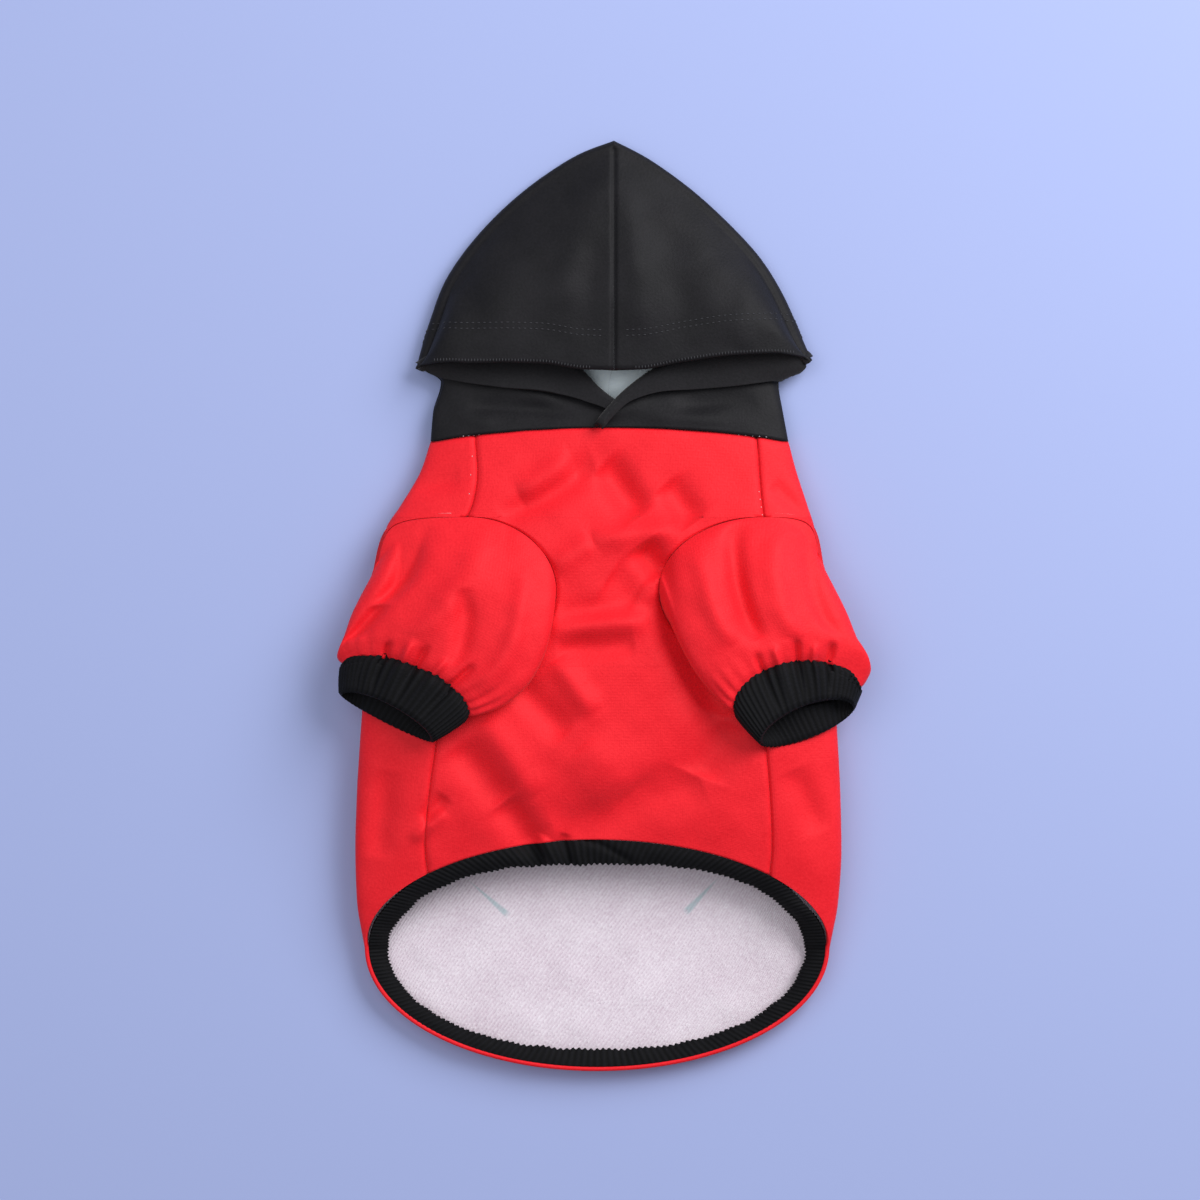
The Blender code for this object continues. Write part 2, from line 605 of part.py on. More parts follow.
def hood_crease(side, station):
    """Crease, way it faces, edge and heights of a station round the hood."""
    sign = -1.0 if side == "left" else 1.0
    front = station > 0.5

    def read(column):
        crown = follow(CROWN[side], "round", column, station)
        lapel = follow(LAPEL[side], "round", column, station)
        return np.where(front, lapel, crown)

    half = HOOD_WIDTH / 2
    crease_x = HOOD_SHIFT + sign * read("crease_out") * half
    crease_y = NECK_Y + read("crease_up") * np.where(front, COLLAR_LENGTH, HOOD_LENGTH)
    edge_x = HOOD_SHIFT + sign * read("edge_out") * half
    edge_y = NECK_Y + read("edge_up") * COLLAR_LENGTH
    facing = np.radians(read("facing"))
    face_x = np.cos(facing) * -sign
    face_y = np.sin(facing)
    under = follow(CROWN[side], "round", "under", station) * HOOD_HEIGHT
    over = follow(CROWN[side], "round", "over", station) * HOOD_HEIGHT
    lip = follow(CROWN[side], "round", "lip", station) * HOOD_HEIGHT
    blend = smooth_step(station, 0.5, 0.55)
    rolled = collar_top(crease_x, crease_y)
    under = under * (1 - blend) + rolled * blend
    over = over * (1 - blend) + (rolled + 2 * LAPEL_ROLL) * blend
    return (crease_x, crease_y), (face_x, face_y), (edge_x, edge_y), (under, over, lip)


def hood_point(side, station, part, share):
    """A point of the hood's outer face. The part is 0 on the lower layer, which runs from the
    neck seam to the crease, 1 in the crease and 2 on the upper layer, up to the front edge."""
    sign = -1.0 if side == "left" else 1.0
    crease, face, edge, (under, over, lip) = hood_crease(side, station)
    radius = (over - under) / 2
    start_x = crease[0] - face[0] * radius
    start_y = crease[1] - face[1] * radius
    front = np.maximum(station - 0.5, 0) * 2
    back = np.maximum(0.5 - station, 0) * 2
    turn = back * 90 - front * (180 - FRONT_ANGLE[side] if side == "left" else FRONT_ANGLE[side])
    angle = 180 + turn if side == "left" else -turn
    seam_place = np.cos(np.radians(angle))
    is_front = station > 0.5

    # Lower layer: from the neck seam along the collar's section to the crease
    low = np.where(part == 0, share, 1.0)
    y = NECK_Y + GAP + (start_y - NECK_Y - GAP) * low
    left, right, top = collar((y - NECK_Y) / COLLAR_LENGTH)
    section_side = SIDE_SHARE * top
    end_left, end_right, _ = collar((start_y - NECK_Y) / COLLAR_LENGTH)
    end_place = (start_x - (end_right - end_left) / 2) / ((end_right + end_left) / 2)
    place = seam_place + (end_place - seam_place) * low
    x = (right - left) / 2 + (right + left) / 2 * place
    upper = section_side + (top - section_side) * upper_share(place)
    lower = section_side * floor_share(place)
    section_z = np.where(is_front, upper, lower)
    near_crease = smooth_step(low, 0.3, 1.0)
    z = section_z * (1 - near_crease) + under * near_crease

    # Crease: half a turn from the lower to the upper layer
    turned = np.radians(180 * np.where(part == 1, share, 0.0))
    bend_x = start_x + face[0] * radius * np.sin(turned)
    bend_y = start_y + face[1] * radius * np.sin(turned)
    bend_z = under + radius * (1 - np.cos(turned))

    # Upper layer: the crown rises to its lip, the lapel lies down on the collar
    high = np.where(part == 2, share, 0.0)
    upper_x = start_x + (edge[0] - start_x) * high
    upper_y = start_y + (edge[1] - start_y) * high
    swell = np.sin(np.radians(90 * np.clip(high / 0.75, 0, 1)))
    crown_z = over + (lip - over) * swell
    lying = collar_top(upper_x, upper_y) + 2 * LAPEL_ROLL * (1 - 0.5 * high)
    blend = smooth_step(station, 0.5, 0.55)
    upper_z = crown_z * (1 - blend) + lying * blend

    x = np.where(part == 0, x, np.where(part == 1, bend_x, upper_x))
    y = np.where(part == 0, y, np.where(part == 1, bend_y, upper_y))
    z = np.where(part == 0, z, np.where(part == 1, bend_z, upper_z))
    apart = GAP / 2 + 0.4 * HOOD_WALL * (1 - smooth_step(station, 0.0, 0.1)) * (part > 0)
    return x + sign * apart, y, z


def hood_shape(side):
    rows = HOOD_LOWER_ROWS + HOOD_CREASE_ROWS + HOOD_UPPER_ROWS

    def shape(across, along):
        station = at_rows(HOOD_STATIONS, across)
        row = np.round(along * rows)
        crease_row = row - HOOD_LOWER_ROWS
        upper_row = crease_row - HOOD_CREASE_ROWS
        part = np.where(crease_row <= 0, 0, np.where(upper_row <= 0, 1, 2))
        share = np.where(
            part == 0,
            row / HOOD_LOWER_ROWS,
            np.where(part == 1, crease_row / HOOD_CREASE_ROWS, upper_row / HOOD_UPPER_ROWS),
        )
        return hood_point(side, station, part, share)

    return shape


def cloth(name, columns, rows, shape, wall, material, closed=False, turn_over=False):
    """A sheet of cloth: a grid laid on its shape, joined round if closed, and given its wall."""
    bm = bmesh.new()
    bmesh.ops.create_grid(bm, x_segments=columns, y_segments=rows, size=1.0)
    flat = np.array([vert.co for vert in bm.verts])
    places = np.stack(shape((flat[:, 0] + 1) / 2, (flat[:, 1] + 1) / 2), axis=1)
    for vert, place in zip(bm.verts, places):
        vert.co = place
    if closed:
        bmesh.ops.remove_doubles(bm, verts=bm.verts, dist=1e-6)
    if turn_over:
        bmesh.ops.reverse_faces(bm, faces=bm.faces)
    mesh = bpy.data.meshes.new(name)
    bm.to_mesh(mesh)
    bm.free()
    mesh.shade_smooth()
    mesh.materials.append(material)
    piece = bpy.data.objects.new(name, mesh)
    bpy.context.scene.collection.objects.link(piece)
    solid = piece.modifiers.new("Wall", "SOLIDIFY")
    solid.thickness = wall
    solid.offset = -1.0
    return piece


def fabric(name, colour, roughness):
    material = bpy.data.materials.new(name)
    material.use_nodes = True
    shader = material.node_tree.nodes["Principled BSDF"]
    shader.inputs["Base Color"].default_value = colour
    shader.inputs["Roughness"].default_value = roughness
    shader.inputs["Metallic"].default_value = 0.0
    return material


def build_body():
    belly_rows = len(body_rows(False)) - 1
    back_rows = len(body_rows(True)) - 1
    red = fabric("red_fleece", RED, 0.8)
    cloth("belly_panel", BELLY_COLUMNS, belly_rows, belly_shape, BODY_WALL, red, turn_over=True)
    red_back = fabric("red_fleece_back", RED, 0.8)
    cloth("back_panel", BACK_COLUMNS, back_rows, back_shape, BODY_WALL, red_back)
    rib = fabric("black_rib_hem", BLACK, 0.75)
    cloth("hem_band", BAND_COLUMNS, 2, band_shape, BAND_WALL, rib, closed=True)


def build_sleeves():
    for side in ("left", "right"):
        mirrored = side == "right"
        red = fabric("red_fleece_sleeve_" + side, RED, 0.8)
        rib = fabric("black_rib_cuff_" + side, BLACK, 0.75)
        cloth(
            "sleeve_" + side, 2 * ARM_STEPS, SLEEVE_ROWS, sleeve_shape(side), SLEEVE_WALL, red,
            closed=True, turn_over=mirrored,
        )
        cloth(
            "cuff_" + side, 2 * CUFF_RIBS, 2, cuff_shape(side), CUFF_WALL, rib,
            closed=True, turn_over=mirrored,
        )


def build_hood():
    rows = HOOD_LOWER_ROWS + HOOD_CREASE_ROWS + HOOD_UPPER_ROWS
    for side in ("left", "right"):
        black = fabric("black_jersey_" + side, BLACK, 0.7)
        cloth(
            "hood_" + side, len(HOOD_STATIONS) - 1, rows, hood_shape(side), HOOD_WALL, black,
            turn_over=side == "right",
        )


for old in list(bpy.data.objects):
    bpy.data.objects.remove(old)
build_body()
build_sleeves()
build_hood()
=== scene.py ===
"""Builds a dog hoodie that lies on its back: fleece body, sleeves, ribbed cuffs and hem, hood.

Metres, +Z up, +Y to the tip of the hood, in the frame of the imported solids. Every sheet of cloth
is a fine grid laid on a rule for its shape, with folds, seam grooves, ribs and stitches on it.
"""

import math

import bmesh
import bpy
import numpy as np
from mathutils import Matrix, Vector
from mathutils.bvhtree import BVHTree


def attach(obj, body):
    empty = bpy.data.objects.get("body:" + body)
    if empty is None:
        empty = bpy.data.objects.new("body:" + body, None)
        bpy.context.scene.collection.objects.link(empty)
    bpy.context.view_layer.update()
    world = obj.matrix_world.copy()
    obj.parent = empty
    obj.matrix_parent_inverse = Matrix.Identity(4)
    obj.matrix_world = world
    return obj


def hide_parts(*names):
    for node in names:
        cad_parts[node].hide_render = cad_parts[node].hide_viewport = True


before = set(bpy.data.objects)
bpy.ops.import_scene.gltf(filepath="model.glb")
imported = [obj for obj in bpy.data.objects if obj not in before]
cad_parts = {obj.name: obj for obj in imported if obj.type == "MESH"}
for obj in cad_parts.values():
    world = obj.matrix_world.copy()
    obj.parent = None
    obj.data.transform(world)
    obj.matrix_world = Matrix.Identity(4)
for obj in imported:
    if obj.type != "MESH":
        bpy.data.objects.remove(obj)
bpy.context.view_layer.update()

bl_info = {
    "name": "Dog hoodie",
    "version": (1, 0, 0),
    "blender": (4, 5, 0),
    "location": "3D View > Sidebar > Hoodie",
    "description": "Builds a dog hoodie lying on its back, with its stage",
    "category": "Add Mesh",
}

# Sizes of the body, flat as it lies
BODY_LENGTH = 0.2844
BELLY_LENGTH = 0.1791
CHEST_WIDTH = 0.2151
CHEST_SHIFT = -0.0023
BODY_HEIGHT = 0.0300
NECK_WIDTH = 0.1616
NECK_SHIFT = 0.0025
NECK_HEIGHT = 0.0170
RIM_HEIGHT = 0.0095

# Sizes of the armholes and the sleeves
ARMHOLE_LENGTH = 0.0670
SLEEVE_LENGTH = 0.0630
SLEEVE_HEIGHT = 0.0180
CUFF_LENGTH = 0.0215
CUFF_HEIGHT = 0.0150
CUFF_RIBS = 52
RIB_DEPTH = 0.0005

# Sizes of the hood
HOOD_LENGTH = 0.1364
HOOD_WIDTH = 0.1782
HOOD_SHIFT = 0.0045
HOOD_HEIGHT = 0.0240
COLLAR_LENGTH = 0.0342
COLLAR_HEIGHT = 0.0120
LAPEL_ROLL = 0.0010

# The band round the hem
BAND_WIDTH = 0.0110

# Cloth and clearances
BODY_WALL = 0.0018
HOOD_WALL = 0.0016
BAND_WALL = 0.0024
GAP = 0.00004
LAYER_CLEARANCE = 0.0030

# Places worked out from the sizes
NECK_Y = (BODY_LENGTH - HOOD_LENGTH) / 2
HEM_DOWN = 0.804
BELLY_REACH = HEM_DOWN * BODY_LENGTH - BELLY_LENGTH
BACK_REACH = (1 - HEM_DOWN) * BODY_LENGTH
RIM_SHARE = 0.5 * RIM_HEIGHT / BODY_LENGTH

# How round the upper side of a section is, how square its floor is, and how hard it is pressed flat
TOP_ROUND = 2.5
FLOOR_ROUND = 6.0
FLOOR_PRESS = 1.03
SIDE_SHARE = 0.45
RING_ROUND = 0.55

# Sections of the body: how far down from the neck seam (share of BODY_LENGTH), how far the left
# and right sides have spread from the neck's width to the chest's, how far the height has risen
# from the neck's to the body's, and how far the section slants to the hem
BODY_SECTIONS = {
    "down": (0.0, 0.047, 0.103, 0.138, 0.190, 0.253, 0.348, 0.475, 0.570, 0.649, 0.728, 0.804),
    "left": (0.0, 0.14, 0.43, 0.63, 0.74, 0.83, 0.91, 1.0, 1.05, 1.07, 1.05, 0.94),
    "right": (0.0, 0.16, 0.39, 0.53, 0.63, 0.75, 0.88, 1.0, 1.06, 1.08, 1.02, 0.84),
    "rise": (0.0, 0.2, 0.5, 0.65, 0.85, 0.95, 1.0, 1.0, 0.95, 0.85, 0.7, 0.5),
    "slant": (0.0, 0.0, 0.0, 0.0, 0.0, 0.0, 0.0, 0.0, 0.27, 0.51, 0.76, 1.0),
}

# The two long seams: place across the upper side, from -1 at the left side to 1 at the right
SEAMS = {
    "down": (0.0, 0.122, 0.475, 0.649, 0.804),
    "left": (-0.749, -0.638, -0.678, -0.700, -0.725),
    "right": (0.822, 0.768, 0.695, 0.705, 0.738),
}

# The armholes: middle (share of BODY_LENGTH down), how far in the inner edge lies on the upper
# side, and how far round the side the outer edge lies, in degrees past the side
ARMHOLE_DOWN = 0.239
ARMHOLES = {
    "left": {"inner": -0.186, "past_side": -4.0},
    "right": {"inner": 0.265, "past_side": -4.0},
}

# Rings of each sleeve from the armhole to the cuff: share of the way, outer and inner end across
# (shares of half CHEST_WIDTH) and down (shares of SLEEVE_LENGTH from the armhole's middle), how
# far the upper and under layer bow to the neck and to the hem (shares of SLEEVE_LENGTH), height
# of the outer and inner end (shares of BODY_HEIGHT), thickness (share of SLEEVE_HEIGHT)
SLEEVES = {
    "left": {
        "way": (0.0, 0.3, 0.6, 0.85, 1.0),
        "outer": (-0.962, -1.042, -1.088, -1.113, -1.096),
        "outer_down": (0.0, 0.15, 0.35, 0.46, 0.51),
        "inner": (-0.197, -0.218, -0.293, -0.423, -0.556),
        "inner_down": (0.01, 0.28, 0.60, 0.81, 0.89),
        "bow_up": (0.53, 0.42, 0.36, 0.29, 0.19),
        "bow_down": (0.53, 0.36, 0.19, 0.08, 0.02),
        "outer_z": (0.47, 0.62, 0.70, 0.72, 0.72),
        "inner_z": (1.00, 1.10, 1.17, 1.20, 1.20),
        "thick": (0.60, 0.80, 1.00, 1.00, 0.78),
    },
    "right": {
        "way": (0.0, 0.3, 0.6, 0.85, 1.0),
        "outer": (0.929, 1.000, 1.063, 1.113, 1.075),
        "outer_down": (0.0, 0.15, 0.39, 0.55, 0.69),
        "inner": (0.230, 0.268, 0.360, 0.469, 0.531),
        "inner_down": (-0.09, 0.15, 0.51, 0.75, 0.85),
        "bow_up": (0.49, 0.38, 0.32, 0.32, 0.28),
        "bow_down": (0.50, 0.35, 0.20, 0.10, 0.04),
        "outer_z": (0.47, 0.62, 0.70, 0.72, 0.72),
        "inner_z": (1.00, 1.10, 1.17, 1.20, 1.20),
        "thick": (0.60, 0.80, 1.00, 1.00, 0.78),
    },
}

# Mouth of each cuff: outer and inner end across (shares of half CHEST_WIDTH) and down (shares of
# SLEEVE_LENGTH from the armhole's middle), bow of the upper and under lip (shares of CUFF_LENGTH)
CUFF_MOUTHS = {
    "left": {
        "outer": -1.105, "outer_down": 0.72, "inner": -0.706, "inner_down": 1.06,
        "bow_up": 0.30, "bow_down": 0.12,
    },
    "right": {
        "outer": 1.050, "outer_down": 0.80, "inner": 0.644, "inner_down": 1.07,
        "bow_up": 0.42, "bow_down": 0.31,
    },
}

# Sections of the collar up from the neck seam: shares of COLLAR_LENGTH, half widths as shares of
# half NECK_WIDTH, and how far the height has sunk from the neck's to the collar's
COLLAR_SECTIONS = {
    "up": (0.0, 0.38, 0.79, 1.0, 1.25),
    "left": (1.0, 0.99, 0.95, 1.06, 1.04),
    "right": (1.0, 0.97, 0.94, 1.09, 1.06),
    "sink": (0.0, 0.4, 0.8, 1.0, 1.0),
}

# Stations round each half of the hood from the middle of the back. Up to the corner the sheet
# folds over at the crown's outline: crease out (share of half HOOD_WIDTH) and up (share of
# HOOD_LENGTH), the way the crease faces in degrees, the lip's place (up in COLLAR_LENGTH), and
# the heights of the crease's lower and upper side and of the lip (shares of HOOD_HEIGHT)
CROWN = {
    "left": {
        "round": (0.0, 0.08, 0.16, 0.24, 0.32, 0.38, 0.43, 0.47, 0.5),
        "crease_out": (0.0, 0.162, 0.374, 0.586, 0.768, 0.869, 0.924, 0.970, 1.0),
        "crease_up": (1.0, 0.960, 0.875, 0.759, 0.624, 0.518, 0.422, 0.327, 0.251),
        "facing": (90, 112, 128, 135, 144, 152, 160, 165, 155),
        "edge_out": (0.0, 0.157, 0.359, 0.561, 0.727, 0.828, 0.899, 0.955, 1.0),
        "edge_up": (0.908, 0.921, 1.0, 1.013, 1.013, 1.026, 1.026, 1.013, 1.0),
        "under": (0.0, 0.0, 0.0, 0.0, 0.0, 0.0, 0.0, 0.05, 0.15),
        "over": (0.30, 0.30, 0.30, 0.32, 0.35, 0.38, 0.40, 0.41, 0.42),
        "lip": (1.0, 1.0, 0.98, 0.96, 0.90, 0.82, 0.72, 0.57, 0.42),
    },
    "right": {
        "round": (0.0, 0.08, 0.16, 0.24, 0.32, 0.38, 0.43, 0.47, 0.5),
        "crease_out": (0.0, 0.157, 0.374, 0.571, 0.747, 0.843, 0.909, 0.960, 1.0),
        "crease_up": (1.0, 0.947, 0.848, 0.733, 0.607, 0.508, 0.419, 0.337, 0.274),
        "facing": (90, 112, 128, 135, 144, 152, 160, 165, 155),
        "edge_out": (0.0, 0.141, 0.354, 0.566, 0.712, 0.828, 0.889, 0.949, 1.0),
        "edge_up": (0.908, 0.921, 1.026, 1.105, 1.132, 1.145, 1.132, 1.118, 1.092),
        "under": (0.0, 0.0, 0.0, 0.0, 0.0, 0.0, 0.0, 0.05, 0.15),
        "over": (0.30, 0.30, 0.30, 0.32, 0.35, 0.38, 0.40, 0.41, 0.42),
        "lip": (1.0, 1.0, 0.98, 0.96, 0.90, 0.82, 0.72, 0.57, 0.42),
    },
}

# Past the corner the sheet rolls outwards like a lapel: crease and free edge, both up in shares
# of COLLAR_LENGTH. The right one crosses over the left one
LAPEL = {
    "left": {
        "round": (0.5, 0.55, 0.6, 0.68, 0.76, 0.84, 0.91, 0.96, 1.0),
        "crease_out": (1.0, 0.960, 0.894, 0.768, 0.576, 0.374, 0.190, 0.085, -0.02),
        "crease_up": (1.0, 1.066, 1.132, 1.171, 1.171, 1.105, 0.94, 0.65, 0.38),
        "facing": (155, 125, 110, 95, 88, 75, 50, 38, 32),
        "edge_out": (1.0, 0.919, 0.833, 0.717, 0.550, 0.348, 0.207, 0.110, 0.010),
        "edge_up": (1.0, 0.908, 0.816, 0.75, 0.684, 0.618, 0.526, 0.42, 0.28),
    },
    "right": {
        "round": (0.5, 0.55, 0.6, 0.68, 0.76, 0.84, 0.91, 0.96, 1.0),
        "crease_out": (1.0, 0.970, 0.904, 0.778, 0.596, 0.384, 0.242, 0.060, -0.080),
        "crease_up": (1.092, 1.171, 1.224, 1.237, 1.211, 1.132, 0.97, 0.60, 0.04),
        "facing": (155, 125, 110, 95, 88, 75, 50, 38, 32),
        "edge_out": (1.0, 0.955, 0.889, 0.763, 0.586, 0.394, 0.245, 0.085, -0.065),
        "edge_up": (1.092, 0.974, 0.868, 0.776, 0.711, 0.658, 0.625, 0.47, -0.02),
    },
}
FRONT_ANGLE = {"left": 86.0, "right": 95.0}
CROSSING_LIFT = {"left": -0.0006, "right": 0.0022}

# The band round the hem, by the angle round it from the right side: how steeply it dips from the
# cloth's edge, in degrees, and its width as a share of BAND_WIDTH
BAND = {
    "angle": (0, 25, 60, 90, 120, 155, 180, 215, 270, 325, 360),
    "dip": (28, 24, 12, 8, 12, 24, 28, 18, 28, 18, 28),
    "wide": (0.85, 0.95, 1.0, 1.0, 1.0, 0.95, 0.85, 0.78, 0.74, 0.78, 0.85),
}

# Folds of the belly: both ends across (shares of half CHEST_WIDTH) and down (shares of
# BODY_LENGTH), half width (share of CHEST_WIDTH) and rise (share of BODY_HEIGHT)
FOLDS = (
    {"from": (0.00, 0.045), "to": (0.15, 0.12), "wide": 0.034, "rise": -0.13},
    {"from": (-0.43, 0.125), "to": (-0.04, 0.045), "wide": 0.026, "rise": -0.08},
    {"from": (-0.35, 0.09), "to": (-0.13, 0.045), "wide": 0.026, "rise": 0.07},
    {"from": (0.26, 0.07), "to": (0.38, 0.13), "wide": 0.034, "rise": -0.10},
    {"from": (-0.21, 0.20), "to": (-0.05, 0.158), "wide": 0.026, "rise": 0.045},
    {"from": (-0.05, 0.158), "to": (0.32, 0.140), "wide": 0.028, "rise": 0.070},
    {"from": (0.15, 0.165), "to": (0.24, 0.215), "wide": 0.030, "rise": -0.14},
    {"from": (0.02, 0.215), "to": (0.15, 0.245), "wide": 0.040, "rise": -0.06},
    {"from": (-0.19, 0.272), "to": (0.19, 0.256), "wide": 0.024, "rise": -0.040},
    {"from": (-0.22, 0.300), "to": (0.19, 0.282), "wide": 0.024, "rise": 0.055},
    {"from": (-0.20, 0.332), "to": (0.13, 0.322), "wide": 0.026, "rise": -0.050},
    {"from": (-0.20, 0.345), "to": (-0.04, 0.43), "wide": 0.026, "rise": 0.06},
    {"from": (-0.37, 0.38), "to": (-0.15, 0.465), "wide": 0.032, "rise": -0.07},
    {"from": (-0.50, 0.44), "to": (-0.28, 0.56), "wide": 0.030, "rise": 0.05},
    {"from": (-0.61, 0.48), "to": (-0.42, 0.57), "wide": 0.036, "rise": -0.09},
    {"from": (-0.42, 0.57), "to": (-0.27, 0.65), "wide": 0.030, "rise": -0.09},
    {"from": (0.23, 0.24), "to": (0.50, 0.44), "wide": 0.046, "rise": -0.13},
    {"from": (0.50, 0.44), "to": (0.40, 0.53), "wide": 0.050, "rise": -0.09},
    {"from": (0.40, 0.53), "to": (-0.20, 0.62), "wide": 0.050, "rise": -0.08},
    {"from": (0.10, 0.56), "to": (-0.10, 0.48), "wide": 0.060, "rise": 0.05},
    {"from": (-0.66, 0.56), "to": (-0.75, 0.60), "wide": 0.016, "rise": -0.05},
    {"from": (-0.66, 0.585), "to": (-0.80, 0.63), "wide": 0.014, "rise": 0.04},
    {"from": (-0.24, 0.625), "to": (-0.30, 0.655), "wide": 0.014, "rise": 0.05},
    {"from": (-0.16, 0.62), "to": (-0.20, 0.66), "wide": 0.012, "rise": -0.05},
    {"from": (-0.85, 0.08), "to": (-0.60, 0.06), "wide": 0.020, "rise": -0.03},
    {"from": (0.86, 0.12), "to": (0.70, 0.07), "wide": 0.020, "rise": -0.04},
    {"from": (-0.90, 0.52), "to": (-0.95, 0.66), "wide": 0.030, "rise": -0.05},
    {"from": (0.78, 0.52), "to": (0.90, 0.62), "wide": 0.030, "rise": -0.05},
)

# Creases of the sleeves' upper layer: ends as share of the way from the armhole to the cuff and
# share across from the outer to the inner side, half width across, rise (share of SLEEVE_HEIGHT)
SLEEVE_FOLDS = {
    "left": (
        {"from": (0.00, 0.42), "to": (0.55, 0.16), "wide": 0.060, "rise": -0.26},
        {"from": (0.55, 0.16), "to": (0.85, 0.05), "wide": 0.060, "rise": -0.14},
        {"from": (0.20, 0.62), "to": (0.85, 0.42), "wide": 0.080, "rise": 0.10},
        {"from": (0.45, 0.55), "to": (0.92, 0.70), "wide": 0.050, "rise": -0.12},
        {"from": (0.30, 0.84), "to": (0.95, 0.90), "wide": 0.050, "rise": 0.10},
        {"from": (1.10, 0.28), "to": (0.90, 0.27), "wide": 0.022, "rise": -0.12},
        {"from": (1.10, 0.42), "to": (0.88, 0.40), "wide": 0.024, "rise": 0.10},
        {"from": (1.10, 0.52), "to": (0.88, 0.49), "wide": 0.024, "rise": -0.12},
        {"from": (1.10, 0.66), "to": (0.90, 0.64), "wide": 0.022, "rise": 0.08},
        {"from": (1.10, 0.80), "to": (0.86, 0.78), "wide": 0.024, "rise": -0.12},
    ),
    "right": (
        {"from": (0.05, 0.62), "to": (0.80, 0.66), "wide": 0.055, "rise": -0.22},
        {"from": (0.10, 0.40), "to": (0.85, 0.46), "wide": 0.080, "rise": 0.12},
        {"from": (0.12, 0.82), "to": (0.75, 0.80), "wide": 0.060, "rise": 0.10},
        {"from": (0.15, 0.22), "to": (0.80, 0.20), "wide": 0.060, "rise": -0.08},
        {"from": (1.10, 0.22), "to": (0.88, 0.22), "wide": 0.022, "rise": -0.12},
        {"from": (1.10, 0.34), "to": (0.90, 0.33), "wide": 0.022, "rise": 0.10},
        {"from": (1.10, 0.46), "to": (0.86, 0.45), "wide": 0.024, "rise": -0.12},
        {"from": (1.10, 0.60), "to": (0.88, 0.60), "wide": 0.024, "rise": 0.10},
        {"from": (1.10, 0.74), "to": (0.88, 0.72), "wide": 0.022, "rise": -0.10},
    ),
}

# Folds of the hood: both ends across (shares of half HOOD_WIDTH) and up (shares of HOOD_LENGTH),
# half width (share of half HOOD_WIDTH) and rise (share of HOOD_HEIGHT)
HOOD_FOLDS = (
    {"from": (-0.02, 0.93), "to": (-0.30, 0.42), "wide": 0.10, "rise": 0.06},
    {"from": (-0.10, 0.66), "to": (-0.16, 0.34), "wide": 0.08, "rise": -0.06},
    {"from": (-0.78, 0.56), "to": (-0.66, 0.32), "wide": 0.08, "rise": -0.05},
    {"from": (0.06, 0.90), "to": (0.14, 0.32), "wide": 0.07, "rise": 0.05},
    {"from": (0.26, 0.72), "to": (0.38, 0.34), "wide": 0.10, "rise": -0.06},
    {"from": (0.72, 0.60), "to": (0.62, 0.30), "wide": 0.08, "rise": 0.05},
    {"from": (-0.75, 0.12), "to": (-0.20, 0.06), "wide": 0.05, "rise": -0.07},
    {"from": (-0.62, 0.19), "to": (-0.30, 0.13), "wide": 0.05, "rise": 0.05},
    {"from": (-0.85, 0.10), "to": (-0.60, 0.02), "wide": 0.04, "rise": 0.04},
    {"from": (0.30, 0.10), "to": (0.72, 0.14), "wide": 0.06, "rise": -0.05},
    {"from": (0.15, 0.04), "to": (0.60, 0.05), "wide": 0.05, "rise": 0.04},
)

# How much stronger the folds of the belly and the sleeves are than their rises in the tables,
# and how late they run out to their ends
FOLD_STRENGTH = 1.9
SLEEVE_FOLD_STRENGTH = 1.6
FOLD_TAPER = 4.0
FOLD_END = 0.85

# Ramps of the shapes, each from where it sets in to where it is full: folds and creases up the
# side, the sleeve's settling and its underside, the hem band's front, the hood's corner and roll
FOLDS_UP = (0.05, 0.5)
CREASES_UP = (0.0, 0.4)
CREASES_START = (0.05, 0.25)
SLEEVE_SETTLED = (0.0, 0.45)
SLEEVE_UNDER = (-0.2, 0.2)
CLEARED = (0.0, 0.3)
BAND_FRONT = (0.35, 0.75)
CORNER = (0.5, 0.55)
NEAR_CREASE = (0.3, 1.0)
AHEAD = (0.82, 0.95)
AHEAD_LOW = (0.0, 0.6)
SWOLLEN = 0.75
BACK_FLOOR = (0.05, 0.3)
CUFF_TUCKED = (-0.05, 0.15)

# Clearances counted in GAPs: under the sleeve, at its start and more beyond, at the cuff and at
# the hem band
UNDER_GAPS = 1.5
START_GAPS = 2
MORE_GAPS = 4
CUFF_GAPS = 3.5
BAND_GAPS = 2.5

# How far down the belly's rule is read, how round the armhole's edge is, how much wider a slanted
# seam's gap is, how far the band's dip sets its start back, how much of the back's round counts
# across a groove, and the height above which the neck seam's groove sinks
BELLY_KNOWN = 0.475
ARMHOLE_ROUND = 2.2
SEAM_SLANT = 1.4
BAND_DIP = 0.1
BACK_ROUND = 0.8
NECK_GROOVE_ABOVE = 0.004

# How finely each sheet is divided
ARM_STEPS = 64
ABOVE_ROWS = 26
BELOW_ROWS = 80
RIM_ROWS = 10
BELLY_COLUMNS = 150
BACK_COLUMNS = 210
SLEEVE_COLUMNS = 216
SLEEVE_ROWS = 72
RIB_STEPS = 6
CUFF_ROWS = 22
HEM_RIBS = 200
BAND_ROWS = 16
HOOD_STATIONS = (
    0, 0.004, 0.008, 0.012, 0.018, 0.03, 0.06, 0.12, 0.18, 0.24, 0.30, 0.36, 0.41, 0.45, 0.48, 0.5,
    0.52, 0.55, 0.60, 0.66, 0.73, 0.80, 0.87, 0.93, 0.97, 1,
)
HOOD_COLUMNS = 150
HOOD_LOWER_ROWS = 30
HOOD_CREASE_ROWS = 12
HOOD_UPPER_ROWS = 38

# Seam grooves: depth and half width
GROOVE_DEPTH = 0.0011
GROOVE_WIDTH = 0.0013

